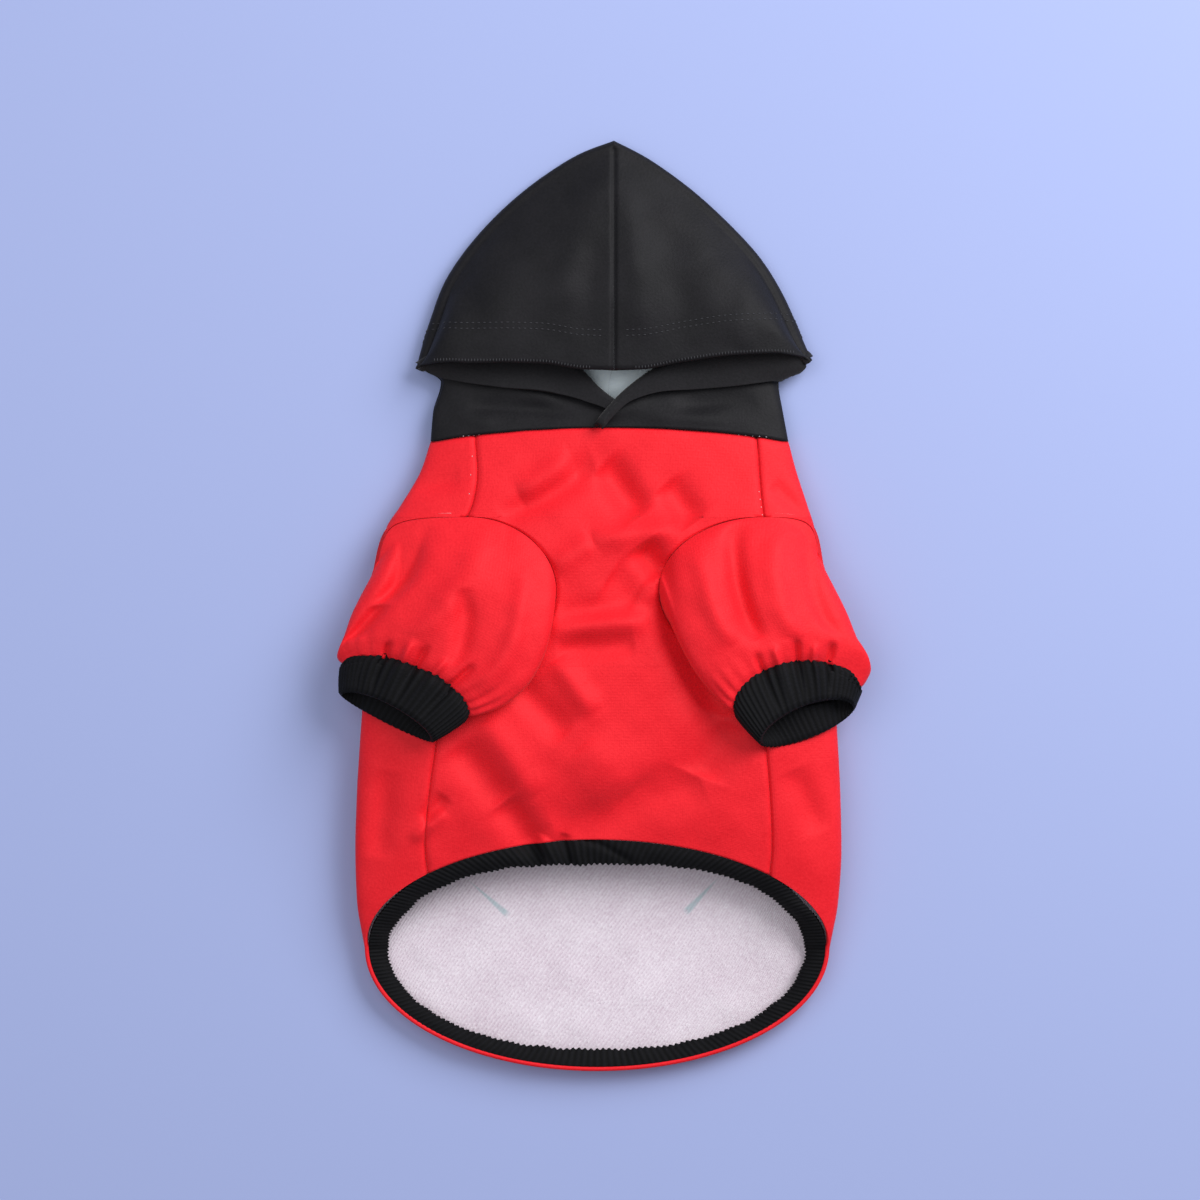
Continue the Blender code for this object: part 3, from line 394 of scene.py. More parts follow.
# Sleeve ends and cuffs: gathers round the sleeve's end, how far it turns in, how far the cuff
# starts inside it, how thick the folded rib is, and the way each cuff's mouth faces
SLEEVE_GATHERS = 26
GATHER_HEIGHT = 0.0005
TURN_IN = 0.0016
CUFF_START = 0.16
CUFF_TUCK = 0.0016
CUFF_FOLD = 0.0026
CUFF_FORWARD = {"left": (-0.45, -1.0), "right": (0.25, -1.0)}
BAND_SWELL = 0.0009

# How much wider a groove's distance counts on the sleeve, where along it the gathers grow, how
# even they are, how its rows crowd to the armhole, where it turns in, where along the cuff's cloth
# its fold lies, how far that comes back, how much it swells, and how much more the height counts
# when a wall swells outwards
SLEEVE_GROOVE_PULL = 1.2
GATHERED = (0.72, 0.97)
GATHER_LEAST = 0.6
UNEVEN_TURNS = 3
UNEVEN_SHIFT = 40
ROWS_EASE = 0.6
END_RING_STEP = 10.0
TURNED = (0.95, 1.0)
CUFF_FOLDED = (0.50, 0.56)
CUFF_RETURN = 0.8
CUFF_SWELL = 0.0008
UPRIGHT = 3

# The hem band's crease at the left and twist at the right: angle round it, slant over its width and
# half width in degrees, and depth or rise
BAND_CREASE = {"angle": 78, "slant": 14, "wide": 2.2, "depth": 0.0012}
BAND_TWIST = {"angle": 24, "wide": 7, "rise": 0.0016}

# Where over the band's width its teeth grow, how much its ribs stand up, how far it reaches over
# its rule's end, and how clear it stays of the cloth under it
BAND_TEETH = (0.85, 1.0)
BAND_RIB_SHARE = 0.35
BAND_REACH = 1.02
BAND_CLEAR = 0.0002

# Low waves of the cloth: the way each runs in radians and its share of the length and height,
# the sum that their heights are divided by, the shift from one to the next, and each piece's
# length and height of them
WAVES = ((0.3, 1.0), (1.4, 0.77), (2.5, 0.61), (3.9, 0.47), (5.2, 0.38))
WAVES_SUM = 2.2
WAVES_SHIFT = 7
BELLY_WAVES = (0.026, 0.00025)
BACK_WAVES = (0.030, 0.00035)
SLEEVE_WAVES = (0.022, 0.00025)
BAND_WAVES = (0.021, 0.0005)
HOOD_WAVES = (0.030, 0.0003)
BACK_SIDE_WAVES = 0.6

# The nape inside the hood stands up a little where it shows: rise, half width and half length
NAPE_RISE = 0.0060
NAPE_WIDTH = 0.0300
NAPE_LENGTH = 0.0160
NAPE_UP = 0.9
NAPE_SHARE = 400.0

# Stations between which the folds of the collar's front set in, and how soon the crown's do
FRONT_FOLDS = (0.56, 0.70)
CROWN_FOLDS = (0.0, 0.15)

# The neck seam's bow to the hood and how far its pull reaches
NECK_BOW = 0.0060
NECK_BOW_REACH = 0.0150
NECK_BOW_HEIGHTS = (0.5, 0.8)

# Stitches: length, distance from one to the next, and thread radius
STITCH_LENGTH = 0.0016
STITCH_PITCH = 0.0026
THREAD_RADIUS = 0.00022
COVER_DISTANCE = 0.0155
COVER_APART = 0.0026
OVERLOCK_DISTANCE = 0.0012
OVERLOCK_PITCH = 0.0014

# Stations between which the hood's rows run, the stitches down its middle by their place above
# the neck seam, and the length and radius share of loose thread bits
COVER_STATIONS = (0.03, 0.47)
OVERLOCK_STATIONS = (0.06, 0.44)
MIDDLE_STITCHES = {"from": 0.055, "to": 0.034, "length": 0.0011, "pitch": 0.0021}
BIT_LENGTH = 0.0007
BIT_RADIUS = 0.8

# How high a thread lies on the cloth (share of its radius), points along a lip's line, the least
# share of the crown's height it keeps, and the step over which a line's direction is read
THREAD_LIFT = 0.4
LIP_POINTS = 60
LIP_LEAST = 0.02
AT_ONCE = 1e-4

# Texture sizes: nap and mottle as noise scales, knit and reverse pitch in millimetres
NAP_SCALE = 900.0
MOTTLE_SCALE = 45.0
KNIT_PITCH = 0.9
REVERSE_PITCH = 1.15

# Looks: how much nap and mottle vary the colour, the middle of that, bump distance and strength,
# roughness, sheen and shine
FLEECE = {"nap": 0.9, "mottle": 0.7, "middle": 0.45, "bump": (0.00022, 0.8), "finish": (0.62, 0.04, 0.22)}
REVERSE = {"nap": 1.0, "mottle": 0.5, "middle": 0.5, "bump": (0.0003, 0.9), "finish": (0.9, 0.15)}
JERSEY = {"nap": 0.8, "mottle": 0.9, "middle": 0.45, "bump": (0.0002, 0.7), "finish": (0.58, 0.02, 0.16)}
INSIDE = {"bump": (0.0003, 0.8), "finish": (0.85, 0.12)}
# The rib's ridge sets how strongly its painted groove shade and ridge highlight show
RIB = {"nap": 0.8, "ridge": 0.8, "bump": (0.0002, 0.7), "finish": (0.75, 0.01, 0.15)}

# How much knit, slant and rib show in the colour and the bump, how the reverse's rows slant and
# are unsettled by fuzz, the rib's stitches, and how rough thread, paper and sheen are
KNIT_SHARE = 0.06
KNIT_BUMP = 0.12
SLANT = 0.7
SLANT_SHARE = 0.15
SLANT_BUMP = 0.3
SLANT_FUZZ = 0.8
RIB_STITCH_PITCH = 0.9
RIB_STITCH_BUMP = 0.15
THREAD_ROUGHNESS = 0.6
PAPER_ROUGHNESS = 0.9
SHEEN_ROUGHNESS = 0.5
PLAIN_SHINE = 0.25
ONE_RIB = 0.001
RIB_LENGTH = 0.02

# The hood's hem on its wrong side and the edge of the grey at the nape: how far before its end
# each starts, and how soft it is, in thousandths of the cloth
INSIDE_HEM = 12
INSIDE_HEM_SOFT = 6.0
NAPE_SOFT = 8.0

# Colours
RED_SHADE = (0.72, 0.003, 0.012, 1.0)
RED_LIGHT = (0.95, 0.018, 0.030, 1.0)
BLACK_SHADE = (0.003, 0.003, 0.004, 1.0)
BLACK_LIGHT = (0.014, 0.013, 0.016, 1.0)
# The rib's colours: painted shade for its grooves and a painted highlight for its ridges, also mixed by its
# nap
RIB_PAINTED_GROOVE_SHADE = (0.001, 0.001, 0.0015, 1.0)
RIB_PAINTED_RIDGE_LIGHT = (0.005, 0.005, 0.007, 1.0)
REVERSE_PINK = (0.62, 0.49, 0.58, 1.0)
REVERSE_WHITE = (0.93, 0.86, 0.93, 1.0)
# The hood's grey-blue inside, made much paler than the cloth: its real colour plus painted light against the
# shade under the crown
GREY_SHADE = (0.78, 0.90, 1.00, 1.0)
GREY_LIGHT = (0.88, 0.98, 1.00, 1.0)
DYE = (0.16, 0.42, 0.44, 1.0)
THREAD_WHITE = (0.60, 0.56, 0.60, 1.0)
THREAD_GREY = (0.045, 0.045, 0.052, 1.0)
FLOOR_BLUE = (0.375, 0.44, 0.74, 1.0)

# Two faint marks of dye inside the back: from the fine end to the broad end, and half width
DYE_MARKS = (
    {"from": (-0.0430, -0.1410), "to": (-0.0630, -0.1235), "wide": 0.0016},
    {"from": (0.0365, -0.1400), "to": (0.0535, -0.1220), "wide": 0.0018},
)

# Half width of a mark's fine end, softness of its sides and its ends, how much the fuzz varies it,
# its least strength, and the softness of the line where the red turns in
DYE_LEAST = 0.0003
DYE_SOFT = 0.0009
DYE_ENDS = (0.1, 0.3)
DYE_UNEVEN = 0.5
DYE_LOW = 0.2
RIM_SOFT = 0.004

# White thread ends: both ends across (shares of half CHEST_WIDTH) and down (shares of
# BODY_LENGTH), and the distance from one to the next
THREAD_BITS = (
    {"from": (-0.60, -0.0070), "to": (-0.52, -0.0095), "pitch": 0.0024},
    {"from": (0.55, -0.0095), "to": (0.70, -0.0055), "pitch": 0.0031},
    {"from": (-0.548, 0.010), "to": (-0.567, 0.110), "pitch": 0.0085},
    {"from": (0.645, 0.075), "to": (0.660, 0.118), "pitch": 0.0035},
)

# Stage
VIEW_CENTRE = (-0.0018, 0.0023)
VIEW_WIDTH = 0.540
CAMERA_HEIGHT = 1.700
SENSOR_WIDTH = 36.0

# The floor's width and the lamps: power of the key, and each one's place, width and share of that
FLOOR_SIZE = 4.0
KEY_POWER = 27.0
LAMPS = {
    "key": {"place": (0.95, 0.85, 1.0), "size": 1.1, "share": 1.0},
    "fill": {"place": (-0.7, 0.3, 1.6), "size": 1.6, "share": 0.40},
}
SKY_COLOUR = (0.92, 0.95, 1.0, 1.0)
SKY_STRENGTH = 0.33

# Walls of the sleeves and cuffs as shown, and widths over which the knit's rows are counted
CUFF_SKIN = 0.0010
SLEEVE_SKIN = 0.0010
BELLY_KNIT = 0.16
BACK_KNIT = 0.31
SLEEVE_KNIT = 0.17


def smooth_step(value, low, high):
    """0 below low, 1 above high, and a soft ramp between them."""
    share = np.clip((value - low) / (high - low), 0.0, 1.0)
    return share * share * (3 - 2 * share)


def follow(table, key, column, at):
    """A table's column read at places between its rows, on a curve that never overshoots."""
    x = np.array(table[key], float)
    y = np.array(table[column], float)
    slopes = np.diff(y) / np.diff(x)
    product = slopes[:-1] * slopes[1:]
    total = slopes[:-1] + slopes[1:]
    inner = np.where(product > 0, 2 * product / np.where(total == 0, 1, total), 0.0)
    tangents = np.concatenate(([slopes[0]], inner, [slopes[-1]]))
    at = np.clip(at, x[0], x[-1])
    row = np.clip(np.searchsorted(x, at, side="right") - 1, 0, len(x) - 2)
    step = x[row + 1] - x[row]
    t = (at - x[row]) / step
    rising = y[row] * (1 + 2 * t) * (1 - t) ** 2 + y[row + 1] * t * t * (3 - 2 * t)
    bending = tangents[row] * t * (1 - t) ** 2 - tangents[row + 1] * t * t * (1 - t)
    return rising + bending * step


def fold_height(folds, first, second, aspect):
    """Rise of all folds at a place. Each fold is a soft ridge or valley along a line."""
    rise = np.zeros(np.shape(first))
    for fold in folds:
        start = np.array(fold["from"], float)
        line = np.array(fold["to"], float) - start
        line[1] *= aspect
        way_x = first - start[0]
        way_y = (second - start[1]) * aspect
        along = np.clip((way_x * line[0] + way_y * line[1]) / (line @ line), 0.0, 1.0)
        off = np.hypot(way_x - along * line[0], way_y - along * line[1])
        taper = 1 - FOLD_END * np.abs(2 * along - 1) ** FOLD_TAPER
        rise = rise + fold["rise"] * taper * np.exp(-((off / fold["wide"]) ** 2))
    return rise


def sides(down):
    """How far the body reaches left and right of the middle line."""
    neck = NECK_WIDTH / 2
    chest = CHEST_WIDTH / 2
    left = follow(BODY_SECTIONS, "down", "left", down)
    right = follow(BODY_SECTIONS, "down", "right", down)
    reach_left = (neck - NECK_SHIFT) * (1 - left) + (chest - CHEST_SHIFT) * left
    reach_right = (neck + NECK_SHIFT) * (1 - right) + (chest + CHEST_SHIFT) * right
    return reach_left, reach_right


def upper_share(across):
    """Height of a section's upper side above its sides, as a share, 1 in the middle."""
    return (1 - np.clip(np.abs(across), 0, 1) ** TOP_ROUND) ** (1 / TOP_ROUND)


def floor_share(across):
    """How far a section's floor stands above the ground, as a share, 1 at the sides."""
    full = (1 - np.clip(np.abs(across), 0, 1) ** FLOOR_ROUND) ** (1 / FLOOR_ROUND)
    return np.clip(1 - FLOOR_PRESS * full, 0, 1)


def belly_folds(x, y):
    """Height that the belly's folds add at a place seen from above."""
    across = x / (CHEST_WIDTH / 2)
    down = (NECK_Y - y) / BODY_LENGTH
    aspect = 2 * BODY_LENGTH / CHEST_WIDTH
    folds = [dict(fold, wide=2 * fold["wide"]) for fold in FOLDS]
    return FOLD_STRENGTH * BODY_HEIGHT * fold_height(folds, across, down, aspect)


def body_point(angle, down):
    """A point of the body's outer face: angle round a section (90 is the middle of the belly,
    180 the left side, 270 the middle of the back) and how far down the section lies."""
    cosine = np.cos(np.radians(angle))
    sine = np.sin(np.radians(angle))
    left, right = sides(down)
    x = (right - left) / 2 + (right + left) / 2 * cosine
    reach = np.where(sine > 0, BELLY_REACH, BACK_REACH)
    slant = follow(BODY_SECTIONS, "down", "slant", down)
    y = NECK_Y - down * BODY_LENGTH + slant * reach * sine
    rise = follow(BODY_SECTIONS, "down", "rise", down)
    top = NECK_HEIGHT + (BODY_HEIGHT - NECK_HEIGHT) * rise
    side = SIDE_SHARE * top
    curl = np.clip((down - HEM_DOWN + RIM_SHARE) / RIM_SHARE, 0, 1)
    floor = RIM_HEIGHT * (1 - np.sqrt(1 - curl * curl))
    folds = belly_folds(x, y) * smooth_step(sine, *FOLDS_UP)
    upper = side + (top - side) * upper_share(cosine) + folds
    lower = floor + np.maximum(side - floor, 0) * floor_share(cosine)
    return x, y, np.where(sine > 0, upper, lower)


def belly_top(x, y):
    """Height of the body's upper side at a place above the slanted end, with some room beside
    its sides, or far down past them."""
    down = (NECK_Y - y) / BODY_LENGTH
    left, right = sides(down)
    across = (x - (right - left) / 2) / ((right + left) / 2 + LAYER_CLEARANCE)
    inside = np.abs(across) < 1
    angle = np.degrees(np.arccos(np.clip(across, -1, 1)))
    height = body_point(angle, np.clip(down, 0, BELLY_KNOWN))[2]
    return np.where(inside, height, -1.0)


def seam_angle(side, down):
    """Angle of a long seam round the section."""
    return np.degrees(np.arccos(follow(SEAMS, "down", side, down)))


def armhole_edges(side, down, inset=0.0):
    """Angles of the armhole's inner and outer edge at a row, or the seam's above and below it."""
    seam = seam_angle(side, down)
    half = ARMHOLE_LENGTH / 2 / BODY_LENGTH - inset / BODY_LENGTH
    away = np.clip(np.abs(down - ARMHOLE_DOWN) / half, 0, 1)
    open_share = np.sqrt(1 - away * away)
    inset_share = 1 - 2 * inset / ARMHOLE_LENGTH
    inner = follow(SEAMS, "down", side, down)
    inner = inner + (ARMHOLES[side]["inner"] - inner) * open_share * inset_share
    past = ARMHOLES[side]["past_side"]
    outermost = 180 + past if side == "left" else -past
    bulge = 1 - (1 - open_share * inset_share) ** ARMHOLE_ROUND
    outer = seam + (outermost - seam) * bulge
    return np.degrees(np.arccos(inner)), outer


def armhole_loop(side, around, inset):
    """Points of the armhole's edge: around is 0 at its inner end, 90 at its end to the neck."""
    sine = np.sin(np.radians(around))
    half = ARMHOLE_LENGTH / 2 / BODY_LENGTH - inset / BODY_LENGTH
    down = ARMHOLE_DOWN - half * sine
    inner, outer = armhole_edges(side, down, inset)
    angle = np.where(np.cos(np.radians(around)) >= 0, inner, outer)
    return body_point(angle, down)


def body_rows(rim_rows):
    """How far down each row of the body's panels lies."""
    half = ARMHOLE_LENGTH / 2 / BODY_LENGTH
    top = ARMHOLE_DOWN - half
    bottom = ARMHOLE_DOWN + half
    above = [top * k / ABOVE_ROWS for k in range(ABOVE_ROWS)]
    steps = [math.radians(-90 + 180 * k / ARM_STEPS) for k in range(ARM_STEPS + 1)]
    beside = [ARMHOLE_DOWN + half * math.sin(step) for step in steps]
    rim = HEM_DOWN - RIM_SHARE
    last = rim if rim_rows else HEM_DOWN
    below = [bottom + (last - bottom) * k / BELOW_ROWS for k in range(1, BELOW_ROWS + 1)]
    turns = [math.radians(90 * k / RIM_ROWS) for k in range(1, RIM_ROWS + 1)]
    curl = [rim + RIM_SHARE * math.sin(turn) for turn in turns]
    return above + beside + below + (curl if rim_rows else [])


def at_rows(values, share):
    """Values of a list read at shares of its length."""
    return np.interp(share * (len(values) - 1), np.arange(len(values)), values)


def belly_shape(across, along):
    down = at_rows(body_rows(False), along)
    left = armhole_edges("left", down)[0]
    right = armhole_edges("right", down)[0]
    width = sum(sides(down)) / 2
    seam_gap = np.degrees(GAP / 2 / width) * SEAM_SLANT
    left_share = np.cos(np.radians(left - seam_gap))
    right_share = np.cos(np.radians(right + seam_gap))
    place = left_share + (right_share - left_share) * across
    return body_point(np.degrees(np.arccos(place)), down)


def back_shape(across, along):
    down = at_rows(body_rows(True), along)
    left = armhole_edges("left", down)[1]
    right = armhole_edges("right", down)[1]
    width = sum(sides(down)) / 2
    seam_gap = np.degrees(GAP / 2 / width) * SEAM_SLANT
    angle = left + seam_gap + (360 + right - seam_gap - left - seam_gap) * across
    return body_point(angle, down)


def ring_point(ends, around, bows, thick):
    """A point of a flattened ring between its outer and inner end, each (x, y, z)."""
    outer, inner = ends
    cosine = np.cos(np.radians(around))
    sine = np.sin(np.radians(around))
    middle = [(a + b) / 2 for a, b in zip(outer, inner)]
    half = [(b - a) / 2 for a, b in zip(outer, inner)]
    length = np.hypot(half[0], half[1])
    across = np.where(half[0] < 0, -1.0, 1.0) / length
    up_x = -half[1] * across
    up_y = half[0] * across
    bow = np.where(sine > 0, bows[0], -bows[1]) * np.abs(sine)
    x = middle[0] + half[0] * cosine + up_x * bow
    y = middle[1] + half[1] * cosine + up_y * bow
    z = middle[2] + half[2] * cosine + thick / 2 * np.sign(sine) * np.abs(sine) ** RING_ROUND
    return x, y, z


def sleeve_ring(side, way, around):
    """A point of a sleeve's outer face, at a share of the way from its armhole to its cuff."""
    table = SLEEVES[side]
    half = CHEST_WIDTH / 2
    middle = NECK_Y - ARMHOLE_DOWN * BODY_LENGTH

    def read(column):
        return follow(table, "way", column, way)

    outer = (
        read("outer") * half,
        middle - read("outer_down") * SLEEVE_LENGTH,
        read("outer_z") * BODY_HEIGHT,
    )
    inner = (
        read("inner") * half,
        middle - read("inner_down") * SLEEVE_LENGTH,
        read("inner_z") * BODY_HEIGHT,
    )
    bows = (read("bow_up") * SLEEVE_LENGTH, read("bow_down") * SLEEVE_LENGTH)
    x, y, z = ring_point((outer, inner), around, bows, read("thick") * SLEEVE_HEIGHT)
    sine = np.sin(np.radians(around))
    across = (1 + np.cos(np.radians(around))) / 2
    crease = SLEEVE_FOLD_STRENGTH * SLEEVE_HEIGHT * fold_height(SLEEVE_FOLDS[side], way, across, 1.0)
    z = z + crease * smooth_step(sine, *CREASES_UP) * smooth_step(way, *CREASES_START)
    return x, y, z


def clear_of_belly(x, y, z, clearance):
    """The height, raised where needed to stay above the body."""
    return np.maximum(z, belly_top(x, y) + clearance)


def sleeve_point(side, way, around):
    """A sleeve's outer face: it leaves the armhole's edge and settles into its own rings."""
    hole = armhole_loop(side, around, 2 * GAP)
    ring = sleeve_ring(side, way, around)
    settled = smooth_step(way, *SLEEVE_SETTLED)
    x, y, z = [a * (1 - settled) + b * settled for a, b in zip(hole, ring)]
    sine = np.sin(np.radians(around))
    under = smooth_step(-sine, *SLEEVE_UNDER)
    z = z + under * UNDER_GAPS * GAP
    clearance = (START_GAPS + MORE_GAPS * smooth_step(way, *CLEARED)) * GAP
    raised = clear_of_belly(x, y, z, clearance)
    raised = np.where(way > 0, raised, z)
    return x, y, raised


def sleeve_end(side, around):
    """The sleeve's end as it is built, with straight edges between its points."""
    step = 180 / ARM_STEPS
    before = np.floor(around / step + 1e-6) * step
    share = (around - before) / step
    ends = np.ones(np.shape(around))
    first = sleeve_point(side, ends, before)
    second = sleeve_point(side, ends, before + step)
    return [a * (1 - share) + b * share for a, b in zip(first, second)]


def cuff_ring(side, share, around):
    """A cuff's outer face without its ribs, from the sleeve's end to its mouth."""
    end = sleeve_end(side, around)
    mouth = CUFF_MOUTHS[side]
    table = SLEEVES[side]
    half = CHEST_WIDTH / 2
    middle = NECK_Y - ARMHOLE_DOWN * BODY_LENGTH
    outer = (
        mouth["outer"] * half,
        middle - mouth["outer_down"] * SLEEVE_LENGTH,
        table["outer_z"][-1] * BODY_HEIGHT,
    )
    inner = (
        mouth["inner"] * half,
        middle - mouth["inner_down"] * SLEEVE_LENGTH,
        table["inner_z"][-1] * BODY_HEIGHT,
    )
    bows = (mouth["bow_up"] * CUFF_LENGTH, mouth["bow_down"] * CUFF_LENGTH)
    lip = ring_point((outer, inner), around, bows, CUFF_HEIGHT)
    way = [b - a for a, b in zip(end, lip)]
    length = np.sqrt(sum(part * part for part in way))
    start = CUFF_GAPS * GAP / length
    reach = start + (1 - start) * share
    x, y, z = [a + part * reach for a, part in zip(end, way)]
    return x, y, np.where(share > 0, clear_of_belly(x, y, z, 6 * GAP), z)


def band_shape(across, along):
    """The hem band: it goes on from the belly's edge and lies inside the back's rim."""
    angle = 360 * across
    x, y, z = body_point(angle, np.full(np.shape(angle), HEM_DOWN))
    left, right = sides(np.array(HEM_DOWN))
    middle_x = (right - left) / 2
    middle_y = NECK_Y - HEM_DOWN * BODY_LENGTH
    in_x = middle_x - x
    in_y = middle_y - y
    length = np.hypot(in_x, in_y)
    in_x = in_x / length
    in_y = in_y / length
    back = 1 - smooth_step(np.sin(np.radians(angle)), *BAND_FRONT)
    dip = np.radians(follow(BAND, "angle", "dip", angle))
    wide = BAND_WIDTH * follow(BAND, "angle", "wide", angle)
    start = BAND_GAPS * GAP + back * (BODY_WALL + BAND_DIP * BAND_WALL * np.sin(dip))
    reach = start + along * wide * np.cos(dip)
    z = z - back * GAP - along * wide * np.sin(dip)
    return x + in_x * reach, y + in_y * reach, z


def collar(up):
    """Half widths left and right of the hood's collar, and its height, up from the neck seam."""
    half = NECK_WIDTH / 2
    left = follow(COLLAR_SECTIONS, "up", "left", up) * half - NECK_SHIFT
    right = follow(COLLAR_SECTIONS, "up", "right", up) * half + NECK_SHIFT
    sink = follow(COLLAR_SECTIONS, "up", "sink", up)
    return left, right, NECK_HEIGHT + (COLLAR_HEIGHT - NECK_HEIGHT) * sink


def collar_place(x, y):
    """Place across the collar's section, from -1 to 1, of a point seen from above."""
    left, right, _ = collar((y - NECK_Y) / COLLAR_LENGTH)
    return np.clip((x - (right - left) / 2) / ((right + left) / 2), -1, 1)


def collar_top(x, y):
    """Height of the collar's front at a place seen from above."""
    top = collar((y - NECK_Y) / COLLAR_LENGTH)[2]
    side = SIDE_SHARE * top
    return side + (top - side) * upper_share(collar_place(x, y))


def hood_crease(side, station):
    """Crease, way it faces, edge and heights of a station round the hood."""
    sign = -1.0 if side == "left" else 1.0
    front = station > 0.5

    def read(column):
        crown = follow(CROWN[side], "round", column, station)
        lapel = follow(LAPEL[side], "round", column, station)
        return np.where(front, lapel, crown)

    half = HOOD_WIDTH / 2
    crease_x = HOOD_SHIFT + sign * read("crease_out") * half
    crease_y = NECK_Y + read("crease_up") * np.where(front, COLLAR_LENGTH, HOOD_LENGTH)
    edge_x = HOOD_SHIFT + sign * read("edge_out") * half
    edge_y = NECK_Y + read("edge_up") * COLLAR_LENGTH
    facing = np.radians(read("facing"))
    face_x = np.cos(facing) * -sign
    face_y = np.sin(facing)
    under = follow(CROWN[side], "round", "under", station) * HOOD_HEIGHT
    over = follow(CROWN[side], "round", "over", station) * HOOD_HEIGHT
    lip = follow(CROWN[side], "round", "lip", station) * HOOD_HEIGHT
    blend = smooth_step(station, *CORNER)
    rolled = collar_top(crease_x, crease_y)
    under = under * (1 - blend) + rolled * blend
    over = over * (1 - blend) + (rolled + 2 * LAPEL_ROLL) * blend
    return (crease_x, crease_y), (face_x, face_y), (edge_x, edge_y), (under, over, lip)


def hood_point(side, station, part, share):
    """A point of the hood's outer face. The part is 0 on the lower layer, which runs from the
    neck seam to the crease, 1 in the crease and 2 on the upper layer, up to the front edge."""
    sign = -1.0 if side == "left" else 1.0
    crease, face, edge, (under, over, lip) = hood_crease(side, station)
    radius = (over - under) / 2
    start_x = crease[0] - face[0] * radius
    start_y = crease[1] - face[1] * radius
    front = np.maximum(station - 0.5, 0) * 2
    back = np.maximum(0.5 - station, 0) * 2
    turn = back * 90 - front * (180 - FRONT_ANGLE[side] if side == "left" else FRONT_ANGLE[side])
    angle = 180 + turn if side == "left" else -turn
    seam_place = np.cos(np.radians(angle))
    is_front = station > 0.5

    # Lower layer: from the neck seam along the collar's section to the crease
    low = np.where(part == 0, share, 1.0)
    y = NECK_Y + GAP + (start_y - NECK_Y - GAP) * low
    left, right, top = collar((y - NECK_Y) / COLLAR_LENGTH)
    section_side = SIDE_SHARE * top
    end_left, end_right, _ = collar((start_y - NECK_Y) / COLLAR_LENGTH)
    end_place = (start_x - (end_right - end_left) / 2) / ((end_right + end_left) / 2)
    place = seam_place + (end_place - seam_place) * low
    x = (right - left) / 2 + (right + left) / 2 * place
    upper = section_side + (top - section_side) * upper_share(place)
    lower = section_side * floor_share(place)
    section_z = np.where(is_front, upper, lower)
    near_crease = smooth_step(low, *NEAR_CREASE)
    z = section_z * (1 - near_crease) + under * near_crease

    # Crease: half a turn from the lower to the upper layer
    turned = np.radians(180 * np.where(part == 1, share, 0.0))
    bend_x = start_x + face[0] * radius * np.sin(turned)
    bend_y = start_y + face[1] * radius * np.sin(turned)
    bend_z = under + radius * (1 - np.cos(turned))

    # Upper layer: the crown rises to its lip, the lapel lies down on the collar
    high = np.where(part == 2, share, 0.0)
    upper_x = start_x + (edge[0] - start_x) * high
    upper_y = start_y + (edge[1] - start_y) * high
    swell = np.sin(np.radians(90 * np.clip(high / SWOLLEN, 0, 1)))
    crown_z = over + (lip - over) * swell
    lying = collar_top(upper_x, upper_y) + 2 * LAPEL_ROLL * (1 - 0.5 * high)
    blend = smooth_step(station, *CORNER)
    upper_z = crown_z * (1 - blend) + lying * blend

    x = np.where(part == 0, x, np.where(part == 1, bend_x, upper_x))
    y = np.where(part == 0, y, np.where(part == 1, bend_y, upper_y))
    z = np.where(part == 0, z, np.where(part == 1, bend_z, upper_z))
    ahead = smooth_step(station, *AHEAD) * np.where(part == 0, smooth_step(low, *AHEAD_LOW), 1.0)
    return x + sign * GAP / 2, y, z + CROSSING_LIFT[side] * ahead


def seam_groove(distance):
    """How deep a sewn edge sinks at a distance from it."""
    return GROOVE_DEPTH * np.exp(-((distance / GROOVE_WIDTH) ** 2))


def ripples(x, y, length, height):
    """Low uneven waves of the cloth, so that no stretch of it is quite flat."""
    total = np.zeros(np.shape(x))
    for turn, share in WAVES:
        place = x * math.cos(turn) + y * math.sin(turn)
        total = total + np.sin(2 * math.pi * place / (length * share) + WAVES_SHIFT * turn) * share
    return height * total / WAVES_SUM


def visible_belly(across, along):
    """The belly panel with its edges sunk in the seams."""
    down = at_rows(body_rows(False), along)
    left = np.cos(np.radians(armhole_edges("left", down)[0]))
    right = np.cos(np.radians(armhole_edges("right", down)[0]))
    x, y, z = belly_shape(across, along)
    half = sum(sides(down)) / 2
    wide = (right - left) * half
    edge = np.minimum(across, 1 - across) * wide
    z = z - seam_groove(edge) - seam_groove(down * BODY_LENGTH)
    return x, y, z + ripples(x, y, *BELLY_WAVES)


def visible_back(across, along):
    """The back panel with its edges sunk in the seams, and shallow waves in its floor."""
    down = at_rows(body_rows(True), along)
    x, y, z = back_shape(across, along)
    left = armhole_edges("left", down)[1]
    right = armhole_edges("right", down)[1]
    half = sum(sides(down)) / 2
    turn = np.radians(360 + right - left)
    edge = np.minimum(across, 1 - across) * turn * half * BACK_ROUND
    neck_seam = seam_groove(down * BODY_LENGTH) * (z > NECK_GROOVE_ABOVE)
    z = z - seam_groove(edge) * (z > GROOVE_DEPTH) - neck_seam
    angle = left + (360 + right - left) * across
    floor = smooth_step(-np.sin(np.radians(angle)), *BACK_FLOOR)
    waves = ripples(x, y, *BACK_WAVES)
    return x, y, z + floor * np.maximum(waves, 0) + (1 - floor) * BACK_SIDE_WAVES * waves


